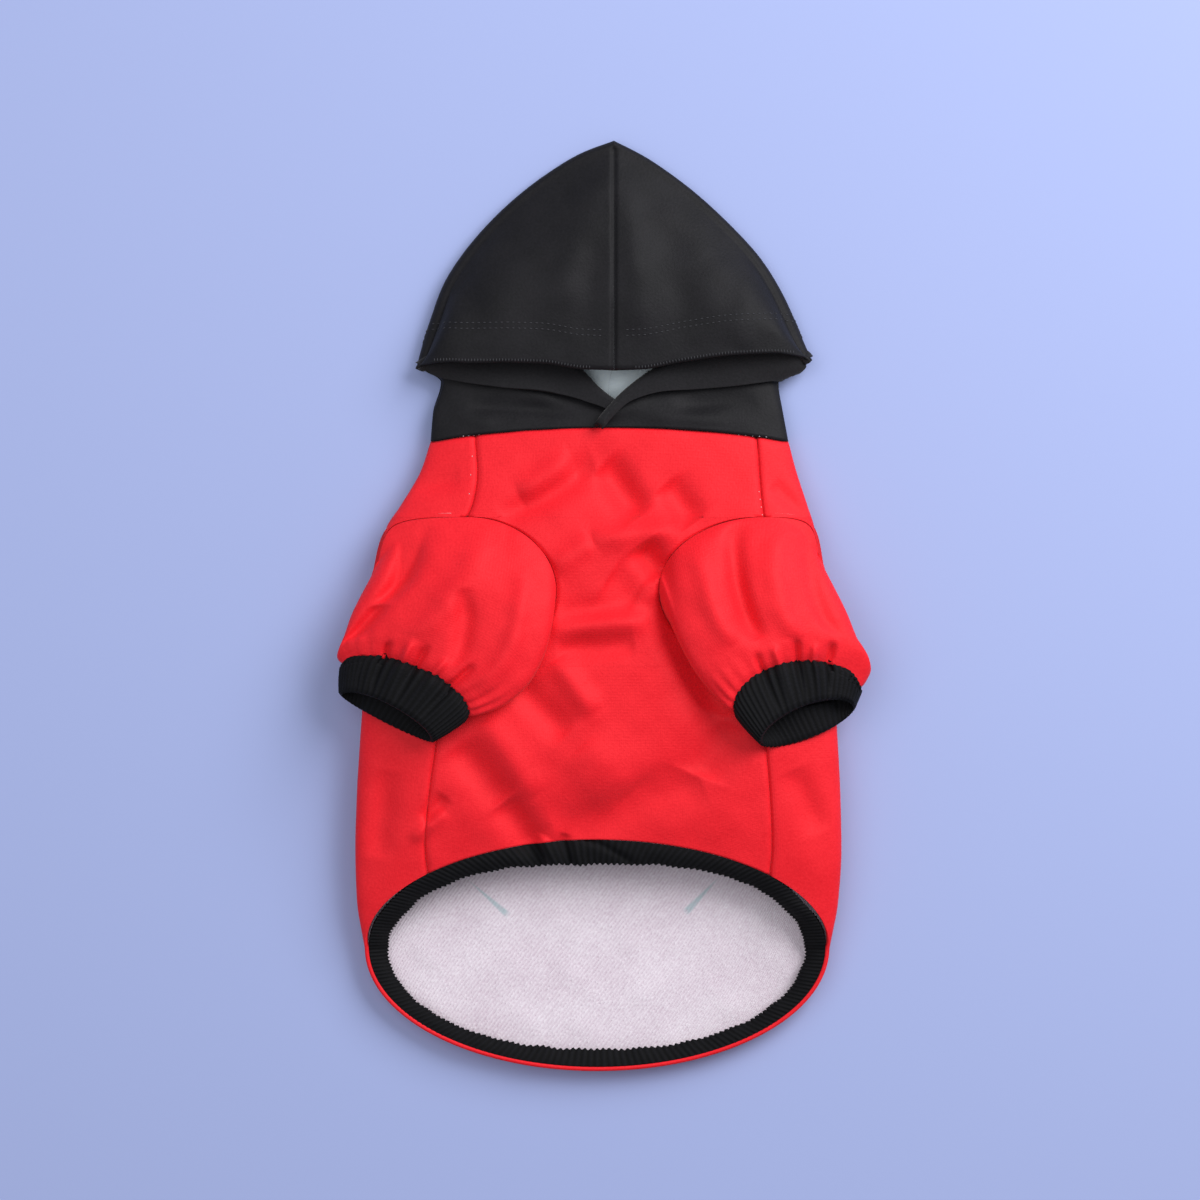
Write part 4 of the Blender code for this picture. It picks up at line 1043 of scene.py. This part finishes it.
def visible_sleeve(side):
    """A sleeve whose start sinks into the armhole seam and whose end is gathered on the cuff."""

    def shape(across, along):
        way = along * along * (1.0 - along / 2) * ROWS_EASE + along * (1 - ROWS_EASE / 2)
        around = -90 + 360 * across
        x, y, z = sleeve_point(side, way, around)
        z = z - seam_groove(way * SLEEVE_LENGTH * SLEEVE_GROOVE_PULL)
        turned = smooth_step(way, *TURNED)
        gather = np.sin(np.radians(around * SLEEVE_GATHERS)) * smooth_step(way, *GATHERED)
        uneven = np.sin(np.radians(around * UNEVEN_TURNS + UNEVEN_SHIFT))
        uneven = GATHER_LEAST + (1 - GATHER_LEAST) * uneven
        end_ring = sleeve_ring(side, np.array([1.0]), np.arange(0, 360, END_RING_STEP))
        middle = [part.mean() for part in end_ring]
        out = np.stack((x - middle[0], y - middle[1], UPRIGHT * (z - middle[2])))
        out = out / np.sqrt((out * out).sum(axis=0))
        lift = GATHER_HEIGHT * gather * uneven - TURN_IN * turned * turned
        z = z + ripples(x, y, *SLEEVE_WAVES)
        return x + out[0] * lift, y + out[1] * lift, z + out[2] * lift

    return shape


def visible_cuff(side):
    """A folded rib cuff: out to its mouth, over the fold and back in, with ribs round it."""

    def shape(across, along):
        around = 360 * across
        fold_from, fold_to = CUFF_FOLDED
        way = np.clip(along / fold_from, 0, 1)
        back = np.clip((along - fold_to) / (1 - fold_to), 0, 1)
        fold = np.clip((along - fold_from) / (fold_to - fold_from), 0, 1)
        share = np.where(along <= fold_to, way, 1 - CUFF_RETURN * back)
        share = share * (1 + CUFF_START) - CUFF_START
        x, y, z = cuff_ring(side, np.maximum(share, -CUFF_START), around)
        middle_x, middle_y, middle_z = (np.mean(part) for part in (x, y, z))
        out = np.stack((x - middle_x, y - middle_y, UPRIGHT * (z - middle_z)))
        out = out / np.sqrt((out * out).sum(axis=0))
        rib = np.cos(2 * math.pi * across * CUFF_RIBS)
        bulge = CUFF_SWELL * np.sin(math.pi * way) * (along < fold_from)
        inward = 0.5 * CUFF_FOLD * (1 - np.cos(math.pi * fold))
        lift = rib * RIB_DEPTH / 2 + bulge - inward - CUFF_TUCK * (1 - smooth_step(share, *CUFF_TUCKED))
        ahead = CUFF_FOLD * 0.5 * np.sin(math.pi * fold)
        forward = CUFF_FORWARD[side]
        length = math.hypot(*forward)
        x = x + out[0] * lift + forward[0] / length * ahead
        y = y + out[1] * lift + forward[1] / length * ahead
        return x, y, z + out[2] * lift

    return shape


def visible_band(across, along):
    """The folded rib band of the hem, with ribs across it and a toothed inner edge."""
    x, y, z = band_shape(across, along * BAND_REACH)
    angle = 360 * across
    rib = np.cos(2 * math.pi * across * HEM_RIBS)
    teeth = smooth_step(along, *BAND_TEETH)
    left, right = sides(np.array(HEM_DOWN))
    middle_x = (right - left) / 2
    middle_y = NECK_Y - HEM_DOWN * BODY_LENGTH
    in_x = middle_x - x
    in_y = middle_y - y
    length = np.hypot(in_x, in_y)
    reach = teeth * RIB_DEPTH * rib
    wave = ripples(x, y, *BAND_WAVES) * along
    off_crease = angle - BAND_CREASE["angle"] - BAND_CREASE["slant"] * (1 - along)
    crease = BAND_CREASE["depth"] * np.exp(-((off_crease / BAND_CREASE["wide"]) ** 2))
    off_twist = (angle - BAND_TWIST["angle"]) / BAND_TWIST["wide"]
    twist = BAND_TWIST["rise"] * np.exp(-(off_twist ** 2)) * np.sin(math.pi * along)
    swell = BAND_SWELL * np.sin(math.pi * np.clip(along, 0, 1))
    z = z + swell + rib * RIB_DEPTH * BAND_RIB_SHARE + wave - crease + twist
    z = np.maximum(z, BAND_WALL + BODY_WALL + BAND_CLEAR)
    return x + in_x / length * (reach + wave), y + in_y / length * (reach + wave), z


def visible_hood(side):
    """Half of the hood, fine, with the seam groove in the middle and folds."""
    rows = HOOD_LOWER_ROWS + HOOD_CREASE_ROWS + HOOD_UPPER_ROWS

    def shape(across, along):
        station = at_rows(HOOD_STATIONS, across)
        row = along * rows
        crease_row = row - HOOD_LOWER_ROWS
        upper_row = crease_row - HOOD_CREASE_ROWS
        part = np.where(crease_row <= 1e-6, 0, np.where(upper_row <= 1e-6, 1, 2))
        share = np.where(
            part == 0,
            row / HOOD_LOWER_ROWS,
            np.where(part == 1, crease_row / HOOD_CREASE_ROWS, upper_row / HOOD_UPPER_ROWS),
        )
        x, y, z = hood_point(side, station, part, share)
        upper = np.where(part == 2, smooth_step(share, *CROWN_FOLDS), 0.0)
        front_low = np.where(part == 0, smooth_step(station, *FRONT_FOLDS), 0.0)
        shown = np.maximum(upper, front_low)
        half = HOOD_WIDTH / 2
        first = (x - HOOD_SHIFT) / half
        second = (y - NECK_Y) / HOOD_LENGTH
        aspect = HOOD_LENGTH / half
        z = z + shown * HOOD_HEIGHT * fold_height(HOOD_FOLDS, first, second, aspect)
        z = z + shown * ripples(x, y, *HOOD_WAVES)
        crown = np.where(station <= 0.5, 1.0, 0.0) * np.where(part == 2, 1.0, 0.0)
        nape = np.where(station <= 0.5, 1.0, 0.0) * np.where(part == 0, 1.0, 0.0)
        off_x = (x - HOOD_SHIFT) / NAPE_WIDTH
        off_y = (y - NECK_Y - NAPE_UP * COLLAR_LENGTH) / NAPE_LENGTH
        z = z + nape * NAPE_RISE * np.exp(-(off_x ** 2) - off_y ** 2)
        z = z - crown * seam_groove(x - HOOD_SHIFT)
        return x, y, np.maximum(z, 0.0)

    return shape


def neck_bowed(x, y, z):
    """The neck seam bows to the hood in the middle of the front."""
    across = (x - NECK_SHIFT) / (NECK_WIDTH / 2)
    front = smooth_step(z / NECK_HEIGHT, *NECK_BOW_HEIGHTS)
    near = np.exp(-(((y - NECK_Y) / NECK_BOW_REACH) ** 2))
    return y + NECK_BOW * np.clip(1 - across * across, 0, 1) * front * near


def cloth(name, columns, rows, shape, wall, looks, closed=False, turn_over=False):
    """A sheet of cloth: a grid laid on its shape, joined round if closed, and given its wall."""
    bm = bmesh.new()
    bm.loops.layers.uv.new("Cloth")
    bmesh.ops.create_grid(bm, x_segments=columns, y_segments=rows, size=1.0, calc_uvs=True)
    flat = np.array([vert.co for vert in bm.verts])
    x, y, z = shape((flat[:, 0] + 1) / 2, (flat[:, 1] + 1) / 2)
    y = neck_bowed(x, y, z)
    for vert, place in zip(bm.verts, zip(x, y, z)):
        vert.co = place
    if closed:
        bmesh.ops.remove_doubles(bm, verts=bm.verts, dist=1e-6)
    if turn_over:
        bmesh.ops.reverse_faces(bm, faces=bm.faces)
    mesh = bpy.data.meshes.new(name)
    bm.to_mesh(mesh)
    bm.free()
    mesh.shade_smooth()
    for look in looks:
        mesh.materials.append(look)
    piece = bpy.data.objects.new(name, mesh)
    bpy.context.scene.collection.objects.link(piece)
    solid = piece.modifiers.new("Wall", "SOLIDIFY")
    solid.thickness = wall
    solid.offset = -1.0
    solid.material_offset = len(looks) - 1
    return piece


class Value:
    """A number inside a shader. Arithmetic on it adds Math nodes."""

    def __init__(self, shader, socket):
        self.shader = shader
        self.socket = socket

    def math(self, operation, *others):
        return self.shader.math(operation, self, *others)

    def __add__(self, other):
        return self.math("ADD", other)

    __radd__ = __add__

    def __sub__(self, other):
        return self.math("SUBTRACT", other)

    def __rsub__(self, other):
        return self.shader.math("SUBTRACT", other, self)

    def __mul__(self, other):
        return self.math("MULTIPLY", other)

    __rmul__ = __mul__

    def __truediv__(self, other):
        return self.math("DIVIDE", other)

    def sine(self):
        return self.math("SINE")

    def size(self):
        return self.math("ABSOLUTE")

    def ramp(self, low, high):
        """0 at low, 1 at high, straight in between and clamped."""
        share = (self - low) / (high - low)
        return share.math("MINIMUM", 1.0).math("MAXIMUM", 0.0)


class Shader:
    """A material's node tree, built from one method for nodes and a few for what is common."""

    def __init__(self, name):
        self.material = bpy.data.materials.new(name)
        self.material.use_nodes = True
        self.tree = self.material.node_tree
        self.principled = self.tree.nodes["Principled BSDF"]

    def put(self, socket, value):
        if isinstance(value, Value):
            self.tree.links.new(value.socket, socket)
        else:
            socket.default_value = value

    def add(self, kind, settings=None, inputs=None):
        node = self.tree.nodes.new("ShaderNode" + kind)
        for name, value in (settings or {}).items():
            setattr(node, name, value)
        for name, value in (inputs or {}).items():
            self.put(node.inputs[name], value)
        return node

    def math(self, operation, *values):
        node = self.add("Math", {"operation": operation})
        for socket, value in zip(node.inputs, values):
            self.put(socket, value)
        return Value(self, node.outputs["Value"])

    def mix(self, share, first, second):
        """Two colours mixed. The Mix node's colour sockets are picked by their place."""
        node = self.add("Mix", {"data_type": "RGBA"})
        self.put(node.inputs[0], share)
        self.put(node.inputs[6], first)
        self.put(node.inputs[7], second)
        return Value(self, node.outputs[2])

    def noise(self, vector, scale, detail=2.0):
        settings = {"Vector": vector, "Scale": scale, "Detail": detail}
        node = self.add("TexNoise", inputs=settings)
        return Value(self, node.outputs[0])

    def place(self):
        """Object coordinates, as one vector."""
        return Value(self, self.add("TexCoord").outputs["Object"])

    def parts(self, vector):
        """The three numbers of a vector."""
        node = self.add("SeparateXYZ", inputs={"Vector": vector})
        return [Value(self, socket) for socket in node.outputs]

    def cloth_place(self, width, length):
        """Place on the flat cloth in millimetres: across and along."""
        node = self.add("UVMap", {"uv_map": "Cloth"})
        across, along, _ = self.parts(Value(self, node.outputs["UV"]))
        return across * (1000 * width), along * (1000 * length)

    def bump(self, height, distance, strength=1.0):
        settings = {"Height": height, "Distance": distance, "Strength": strength}
        node = self.add("Bump", inputs=settings)
        self.put(self.principled.inputs["Normal"], Value(self, node.outputs["Normal"]))

    def finish(self, colour, roughness, sheen, shine=PLAIN_SHINE):
        self.put(self.principled.inputs["Base Color"], colour)
        self.put(self.principled.inputs["Roughness"], roughness)
        self.put(self.principled.inputs["Sheen Weight"], sheen)
        self.put(self.principled.inputs["Sheen Roughness"], SHEEN_ROUGHNESS)
        self.put(self.principled.inputs["Specular IOR Level"], shine)
        return self.material


def fleece(name, width, length):
    """Red fleece, smooth side: a fine knit under a light nap."""
    shader = Shader(name)
    across, along = shader.cloth_place(width, length)
    place = shader.place()
    nap = shader.noise(place, NAP_SCALE, 4.0)
    soft = shader.noise(place, MOTTLE_SCALE, 3.0)
    rows = 2 * math.pi / KNIT_PITCH
    knit = (across * rows).sine() * 0.5 + (along * rows).sine() * 0.5
    uneven = (nap - 0.5) * FLEECE["nap"] + (soft - 0.5) * FLEECE["mottle"]
    share = (uneven + knit * KNIT_SHARE + FLEECE["middle"]).ramp(0.0, 1.0)
    colour = shader.mix(share, RED_SHADE, RED_LIGHT)
    shader.bump(nap + knit * KNIT_BUMP, *FLEECE["bump"])
    return shader.finish(colour, *FLEECE["finish"])


def reverse_side(name, width, length, red_from=2.0):
    """The knit's whitish wrong side with slanting rows, and two faint marks of dye."""
    shader = Shader(name)
    across, along = shader.cloth_place(width, length)
    place = shader.place()
    fuzz = shader.noise(place, NAP_SCALE, 3.0)
    soft = shader.noise(place, MOTTLE_SCALE, 3.0)
    slant = ((across + along * SLANT + fuzz * SLANT_FUZZ) * (2 * math.pi / REVERSE_PITCH)).sine()
    uneven = (fuzz - 0.5) * REVERSE["nap"] + slant * SLANT_SHARE + (soft - 0.5) * REVERSE["mottle"]
    share = (uneven + REVERSE["middle"]).ramp(0.0, 1.0)
    colour = shader.mix(share, REVERSE_PINK, REVERSE_WHITE)
    x, y, _ = shader.parts(place)
    for mark in DYE_MARKS:
        run_x = mark["to"][0] - mark["from"][0]
        run_y = mark["to"][1] - mark["from"][1]
        run = math.hypot(run_x, run_y)
        way = ((x - mark["from"][0]) * run_x + (y - mark["from"][1]) * run_y) / (run * run)
        off = (((x - mark["from"][0]) * run_y - (y - mark["from"][1]) * run_x) / run).size()
        wide = (1.0 - way) * mark["wide"] + DYE_LEAST
        inside = ((wide - off) / DYE_SOFT).ramp(0.0, 1.0)
        inside = inside * way.ramp(0.0, DYE_ENDS[0]) * (1.0 - way).ramp(0.0, DYE_ENDS[1])
        colour = shader.mix(inside * (fuzz * DYE_UNEVEN + DYE_LOW), colour, DYE)
    rim = (along / (1000 * length) - red_from).ramp(0.0, RIM_SOFT)
    colour = shader.mix(rim, colour, RED_SHADE)
    shader.bump(fuzz + slant * SLANT_BUMP, *REVERSE["bump"])
    return shader.finish(colour, *REVERSE["finish"])


def jersey(name):
    """Black jersey, smooth side, with a soft dull shine."""
    shader = Shader(name)
    place = shader.place()
    nap = shader.noise(place, NAP_SCALE, 4.0)
    soft = shader.noise(place, MOTTLE_SCALE, 3.0)
    uneven = (nap - 0.5) * JERSEY["nap"] + (soft - 0.5) * JERSEY["mottle"]
    share = (uneven + JERSEY["middle"]).ramp(0.0, 1.0)
    colour = shader.mix(share, BLACK_SHADE, BLACK_LIGHT)
    shader.bump(nap, *JERSEY["bump"])
    return shader.finish(colour, *JERSEY["finish"])


def jersey_inside(name):
    """The hood's wrong side: grey-blue made paler with painted light, with the black hem turned onto it near
    the front edge.
    """
    shader = Shader(name)
    across, along = shader.cloth_place(1.0, 1.0)
    place = shader.place()
    nap = shader.noise(place, NAP_SCALE, 4.0)
    hem_at = 1000 * HOOD_LOWER_ROWS / (HOOD_LOWER_ROWS + HOOD_CREASE_ROWS + HOOD_UPPER_ROWS)
    hem = (along - hem_at + INSIDE_HEM).ramp(0.0, INSIDE_HEM_SOFT)
    hem = hem.math("MAXIMUM", (across - NAPE_SHARE).ramp(0.0, NAPE_SOFT))
    # The grey is the cloth's grey-blue made paler: painted light where the crown shades the nape
    grey_with_painted_light = shader.mix(nap, GREY_SHADE, GREY_LIGHT)
    black = shader.mix(nap, BLACK_SHADE, BLACK_LIGHT)
    shader.bump(nap, *INSIDE["bump"])
    return shader.finish(shader.mix(hem, grey_with_painted_light, black), *INSIDE["finish"])


def rib_knit(name, ribs):
    """Black rib with painted shade in the grooves, a painted highlight on the ribs, and a fine knit on the
    ribs.
    """
    shader = Shader(name)
    across, along = shader.cloth_place(ONE_RIB * ribs, RIB_LENGTH)
    place = shader.place()
    nap = shader.noise(place, NAP_SCALE, 3.0)
    # The rib's profile lightens the ridges and darkens the grooves in the colour: painted highlight and
    # painted shade
    ridge = (across * (2 * math.pi) + math.pi / 2).sine() * 0.5 + 0.5
    share = (ridge * RIB["ridge"] + (nap - 0.5) * RIB["nap"]).ramp(0.0, 1.0)
    colour = shader.mix(share, RIB_PAINTED_GROOVE_SHADE, RIB_PAINTED_RIDGE_LIGHT)
    stitch = (along * (2 * math.pi / RIB_STITCH_PITCH)).sine()
    shader.bump(nap + ridge * stitch * RIB_STITCH_BUMP, *RIB["bump"])
    return shader.finish(colour, *RIB["finish"])


def plain_look(name, colour, roughness):
    """One even colour."""
    return Shader(name).finish(colour, roughness, 0.0)


def shown_top(x, y, trees):
    """Highest surface below the sky at a place: its point and the way it faces."""
    best = None
    for tree in trees:
        point, normal, _, _ = tree.ray_cast(Vector((x, y, 1.0)), Vector((0, 0, -1)))
        if point is not None and (best is None or point.z > best[0].z):
            best = (point, normal)
    return best


def stitch_row(bm, trees, places, length, pitch, radius, turned=0.0):
    """Short threads one after another along a line seen from above, lying on the cloth."""
    places = np.array(places, float)
    steps = np.hypot(*np.diff(places, axis=0).T)
    total = np.concatenate(([0.0], np.cumsum(steps)))
    for at in np.arange(pitch / 2, total[-1], pitch):
        x = np.interp(at, total, places[:, 0])
        y = np.interp(at, total, places[:, 1])
        ahead_x = np.interp(at + AT_ONCE, total, places[:, 0]) - np.interp(at - AT_ONCE, total, places[:, 0])
        ahead_y = np.interp(at + AT_ONCE, total, places[:, 1]) - np.interp(at - AT_ONCE, total, places[:, 1])
        found = shown_top(x, y, trees)
        if found is None:
            continue
        point, normal = found
        along = Vector((ahead_x, ahead_y, 0)).normalized()
        along = Matrix.Rotation(turned, 3, "Z") @ along
        along = (along - normal * along.dot(normal)).normalized()
        beside = normal.cross(along)
        turn = Matrix((along, beside, normal)).transposed().to_4x4()
        size = Matrix.Diagonal((length / 2, radius, radius, 1.0))
        matrix = Matrix.Translation(point + normal * radius * THREAD_LIFT) @ turn @ size
        bmesh.ops.create_icosphere(bm, subdivisions=1, radius=1.0, matrix=matrix)


def surface_trees(names):
    """The shown surfaces of some pieces, ready for rays."""
    depsgraph = bpy.context.evaluated_depsgraph_get()
    return [BVHTree.FromObject(bpy.data.objects[name], depsgraph) for name in names]


def lip_row(side, distance, first, last):
    """A line on the crown at a distance from its lip, between two stations."""
    stations = np.linspace(first, last, LIP_POINTS)
    crease, _, edge, _ = hood_crease(side, stations)
    length = np.hypot(edge[0] - crease[0], edge[1] - crease[1])
    share = np.clip(1 - distance / length, LIP_LEAST, 1)
    x = crease[0] + (edge[0] - crease[0]) * share
    y = crease[1] + (edge[1] - crease[1]) * share
    return list(zip(x, y))


class HoodieSettings(bpy.types.PropertyGroup):
    """What the panel offers to change."""

    stitch_length: bpy.props.FloatProperty(
        name="Stitch length", description="Length of one stitch", default=STITCH_LENGTH,
        unit="LENGTH", subtype="DISTANCE",
    )
    thread_radius: bpy.props.FloatProperty(
        name="Thread radius", description="Radius of the sewing thread", default=THREAD_RADIUS,
        unit="LENGTH", subtype="DISTANCE",
    )
    floor_size: bpy.props.FloatProperty(
        name="Floor size", description="Width of the floor", default=FLOOR_SIZE,
        unit="LENGTH", subtype="DISTANCE",
    )
    key_power: bpy.props.FloatProperty(
        name="Key light", description="Power of the large light at the upper right", default=KEY_POWER,
        unit="POWER", subtype="POWER",
    )


def laid(piece, node):
    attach(piece, "root")
    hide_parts(node)


class HOODIE_OT_body(bpy.types.Operator):
    """Build the belly panel and the back panel"""

    bl_idname = "hoodie.body"
    bl_label = "Body"

    def execute(self, context):
        outside = fleece("belly_fleece", BELLY_KNIT, BELLY_LENGTH)
        inside = reverse_side("belly_reverse", BELLY_KNIT, BELLY_LENGTH)
        belly = cloth(
            "belly_panel_cloth", BELLY_COLUMNS, len(body_rows(False)) - 1, visible_belly,
            BODY_WALL, (outside, inside), turn_over=True,
        )
        laid(belly, "belly_panel")
        outside = fleece("back_fleece", BACK_KNIT, BODY_LENGTH)
        rows = len(body_rows(True)) - 1
        inside = reverse_side("back_reverse", BACK_KNIT, BODY_LENGTH, 1 - (RIM_ROWS - 3) / rows)
        back = cloth(
            "back_panel_cloth", BACK_COLUMNS, rows, visible_back, BODY_WALL, (outside, inside),
        )
        laid(back, "back_panel")
        return {"FINISHED"}


class HOODIE_OT_sleeves(bpy.types.Operator):
    """Build both sleeves, from the armholes to the cuffs"""

    bl_idname = "hoodie.sleeves"
    bl_label = "Sleeves"

    def execute(self, context):
        for side in ("left", "right"):
            outside = fleece("sleeve_fleece_" + side, SLEEVE_KNIT, SLEEVE_LENGTH)
            sleeve = cloth(
                "sleeve_" + side + "_cloth", SLEEVE_COLUMNS, SLEEVE_ROWS, visible_sleeve(side),
                SLEEVE_SKIN, (outside,), closed=True, turn_over=side == "right",
            )
            laid(sleeve, "sleeve_" + side)
        return {"FINISHED"}


class HOODIE_OT_ribs(bpy.types.Operator):
    """Build the two folded rib cuffs and the rib band of the hem"""

    bl_idname = "hoodie.ribs"
    bl_label = "Cuffs and hem band"

    def execute(self, context):
        for side in ("left", "right"):
            look = rib_knit("cuff_rib_" + side, CUFF_RIBS)
            cuff = cloth(
                "cuff_" + side + "_rib", RIB_STEPS * CUFF_RIBS, CUFF_ROWS, visible_cuff(side),
                CUFF_SKIN, (look,), closed=True, turn_over=side == "right",
            )
            laid(cuff, "cuff_" + side)
        look = rib_knit("hem_rib", HEM_RIBS)
        band = cloth(
            "hem_band_rib", RIB_STEPS * HEM_RIBS, BAND_ROWS, visible_band, BAND_WALL, (look,),
            closed=True,
        )
        laid(band, "hem_band")
        return {"FINISHED"}


class HOODIE_OT_hood(bpy.types.Operator):
    """Build the two halves of the hood with the crossed front edge"""

    bl_idname = "hoodie.hood"
    bl_label = "Hood"

    def execute(self, context):
        rows = HOOD_LOWER_ROWS + HOOD_CREASE_ROWS + HOOD_UPPER_ROWS
        for side in ("left", "right"):
            outside = jersey("hood_jersey_" + side)
            inside = jersey_inside("hood_reverse_" + side)
            half = cloth(
                "hood_" + side + "_cloth", HOOD_COLUMNS, rows, visible_hood(side), HOOD_WALL,
                (outside, inside), turn_over=side == "right",
            )
            laid(half, "hood_" + side)
        return {"FINISHED"}


class HOODIE_OT_stitches(bpy.types.Operator):
    """Lay the visible threads on the cloth: cover seam, overlock and loose white thread"""

    bl_idname = "hoodie.stitches"
    bl_label = "Stitches"

    def execute(self, context):
        settings = context.scene.hoodie
        length = settings.stitch_length
        radius = settings.thread_radius
        hood_trees = surface_trees(("hood_left_cloth", "hood_right_cloth"))
        body_names = ("belly_panel_cloth", "back_panel_cloth", "sleeve_left_cloth", "sleeve_right_cloth")
        all_trees = surface_trees(body_names) + hood_trees
        dark = bmesh.new()
        for side in ("left", "right"):
            for apart in (0.0, COVER_APART):
                row = lip_row(side, COVER_DISTANCE + apart, *COVER_STATIONS)
                stitch_row(dark, hood_trees, row, length, STITCH_PITCH, radius)
            row = lip_row(side, OVERLOCK_DISTANCE, *OVERLOCK_STATIONS)
            stitch_row(dark, hood_trees, row, length, OVERLOCK_PITCH, radius, turned=math.pi / 2)
        self.add(dark, "cover_stitches", THREAD_GREY)
        light = bmesh.new()
        middle = [(HOOD_SHIFT, NECK_Y + MIDDLE_STITCHES[end]) for end in ("from", "to")]
        middle_length = MIDDLE_STITCHES["length"]
        stitch_row(light, hood_trees, middle, middle_length, MIDDLE_STITCHES["pitch"], radius)
        half = CHEST_WIDTH / 2
        for bit in THREAD_BITS:
            ends = [
                (across * half, NECK_Y - down * BODY_LENGTH)
                for across, down in (bit["from"], bit["to"])
            ]
            stitch_row(light, all_trees, ends, BIT_LENGTH, bit["pitch"], radius * BIT_RADIUS)
        self.add(light, "white_threads", THREAD_WHITE)
        return {"FINISHED"}

    def add(self, bm, name, colour):
        mesh = bpy.data.meshes.new(name)
        bm.to_mesh(mesh)
        bm.free()
        mesh.shade_smooth()
        mesh.materials.append(plain_look(name, colour, THREAD_ROUGHNESS))
        piece = bpy.data.objects.new(name, mesh)
        bpy.context.scene.collection.objects.link(piece)
        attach(piece, "root")


class HOODIE_OT_stage(bpy.types.Operator):
    """Set out the floor, the lights and the camera"""

    bl_idname = "hoodie.stage"
    bl_label = "Stage"

    def execute(self, context):
        settings = context.scene.hoodie
        bm = bmesh.new()
        bmesh.ops.create_grid(bm, x_segments=1, y_segments=1, size=settings.floor_size / 2)
        mesh = bpy.data.meshes.new("floor")
        bm.to_mesh(mesh)
        bm.free()
        mesh.materials.append(plain_look("floor_paper", FLOOR_BLUE, PAPER_ROUGHNESS))
        floor = bpy.data.objects.new("floor", mesh)
        context.scene.collection.objects.link(floor)
        for name, lamp in LAMPS.items():
            self.light(context, name, lamp["place"], lamp["size"], settings.key_power * lamp["share"])
        world = bpy.data.worlds.new("studio")
        world.use_nodes = True
        background = world.node_tree.nodes["Background"]
        background.inputs["Color"].default_value = SKY_COLOUR
        background.inputs["Strength"].default_value = SKY_STRENGTH
        context.scene.world = world
        context.scene.view_settings.view_transform = "Standard"
        camera = bpy.data.objects.new("camera", bpy.data.cameras.new("camera"))
        camera.data.sensor_width = SENSOR_WIDTH
        camera.data.lens = SENSOR_WIDTH * (CAMERA_HEIGHT - BODY_HEIGHT / 2) / VIEW_WIDTH
        camera.location = (*VIEW_CENTRE, CAMERA_HEIGHT)
        context.scene.collection.objects.link(camera)
        context.scene.camera = camera
        return {"FINISHED"}

    def light(self, context, name, place, size, power):
        lamp = bpy.data.lights.new(name, "AREA")
        lamp.size = size
        lamp.energy = power
        piece = bpy.data.objects.new(name, lamp)
        piece.location = place
        piece.rotation_euler = Vector(place).to_track_quat("Z", "Y").to_euler()
        context.scene.collection.objects.link(piece)


class HOODIE_PT_panel(bpy.types.Panel):
    """Buttons and sizes in the 3D view's sidebar"""

    bl_idname = "HOODIE_PT_panel"
    bl_label = "Dog hoodie"
    bl_space_type = "VIEW_3D"
    bl_region_type = "UI"
    bl_category = "Hoodie"

    def draw(self, context):
        for name in HoodieSettings.__annotations__:
            self.layout.prop(context.scene.hoodie, name)
        for operator in OPERATORS:
            self.layout.operator(operator.bl_idname)


OPERATORS = (
    HOODIE_OT_body, HOODIE_OT_sleeves, HOODIE_OT_ribs, HOODIE_OT_hood, HOODIE_OT_stitches,
    HOODIE_OT_stage,
)
CLASSES = (HoodieSettings, *OPERATORS, HOODIE_PT_panel)


def register():
    """Add the settings, the operators and the panel."""
    for one in CLASSES:
        bpy.utils.register_class(one)
    bpy.types.Scene.hoodie = bpy.props.PointerProperty(type=HoodieSettings)


def unregister():
    """Take them out again."""
    del bpy.types.Scene.hoodie
    for one in reversed(CLASSES):
        bpy.utils.unregister_class(one)


def main():
    """Build the hoodie piece by piece."""
    register()
    bpy.ops.hoodie.body()
    bpy.ops.hoodie.sleeves()
    bpy.ops.hoodie.ribs()
    bpy.ops.hoodie.hood()
    bpy.ops.hoodie.stitches()
    bpy.ops.hoodie.stage()


if __name__ == "__main__":
    main()
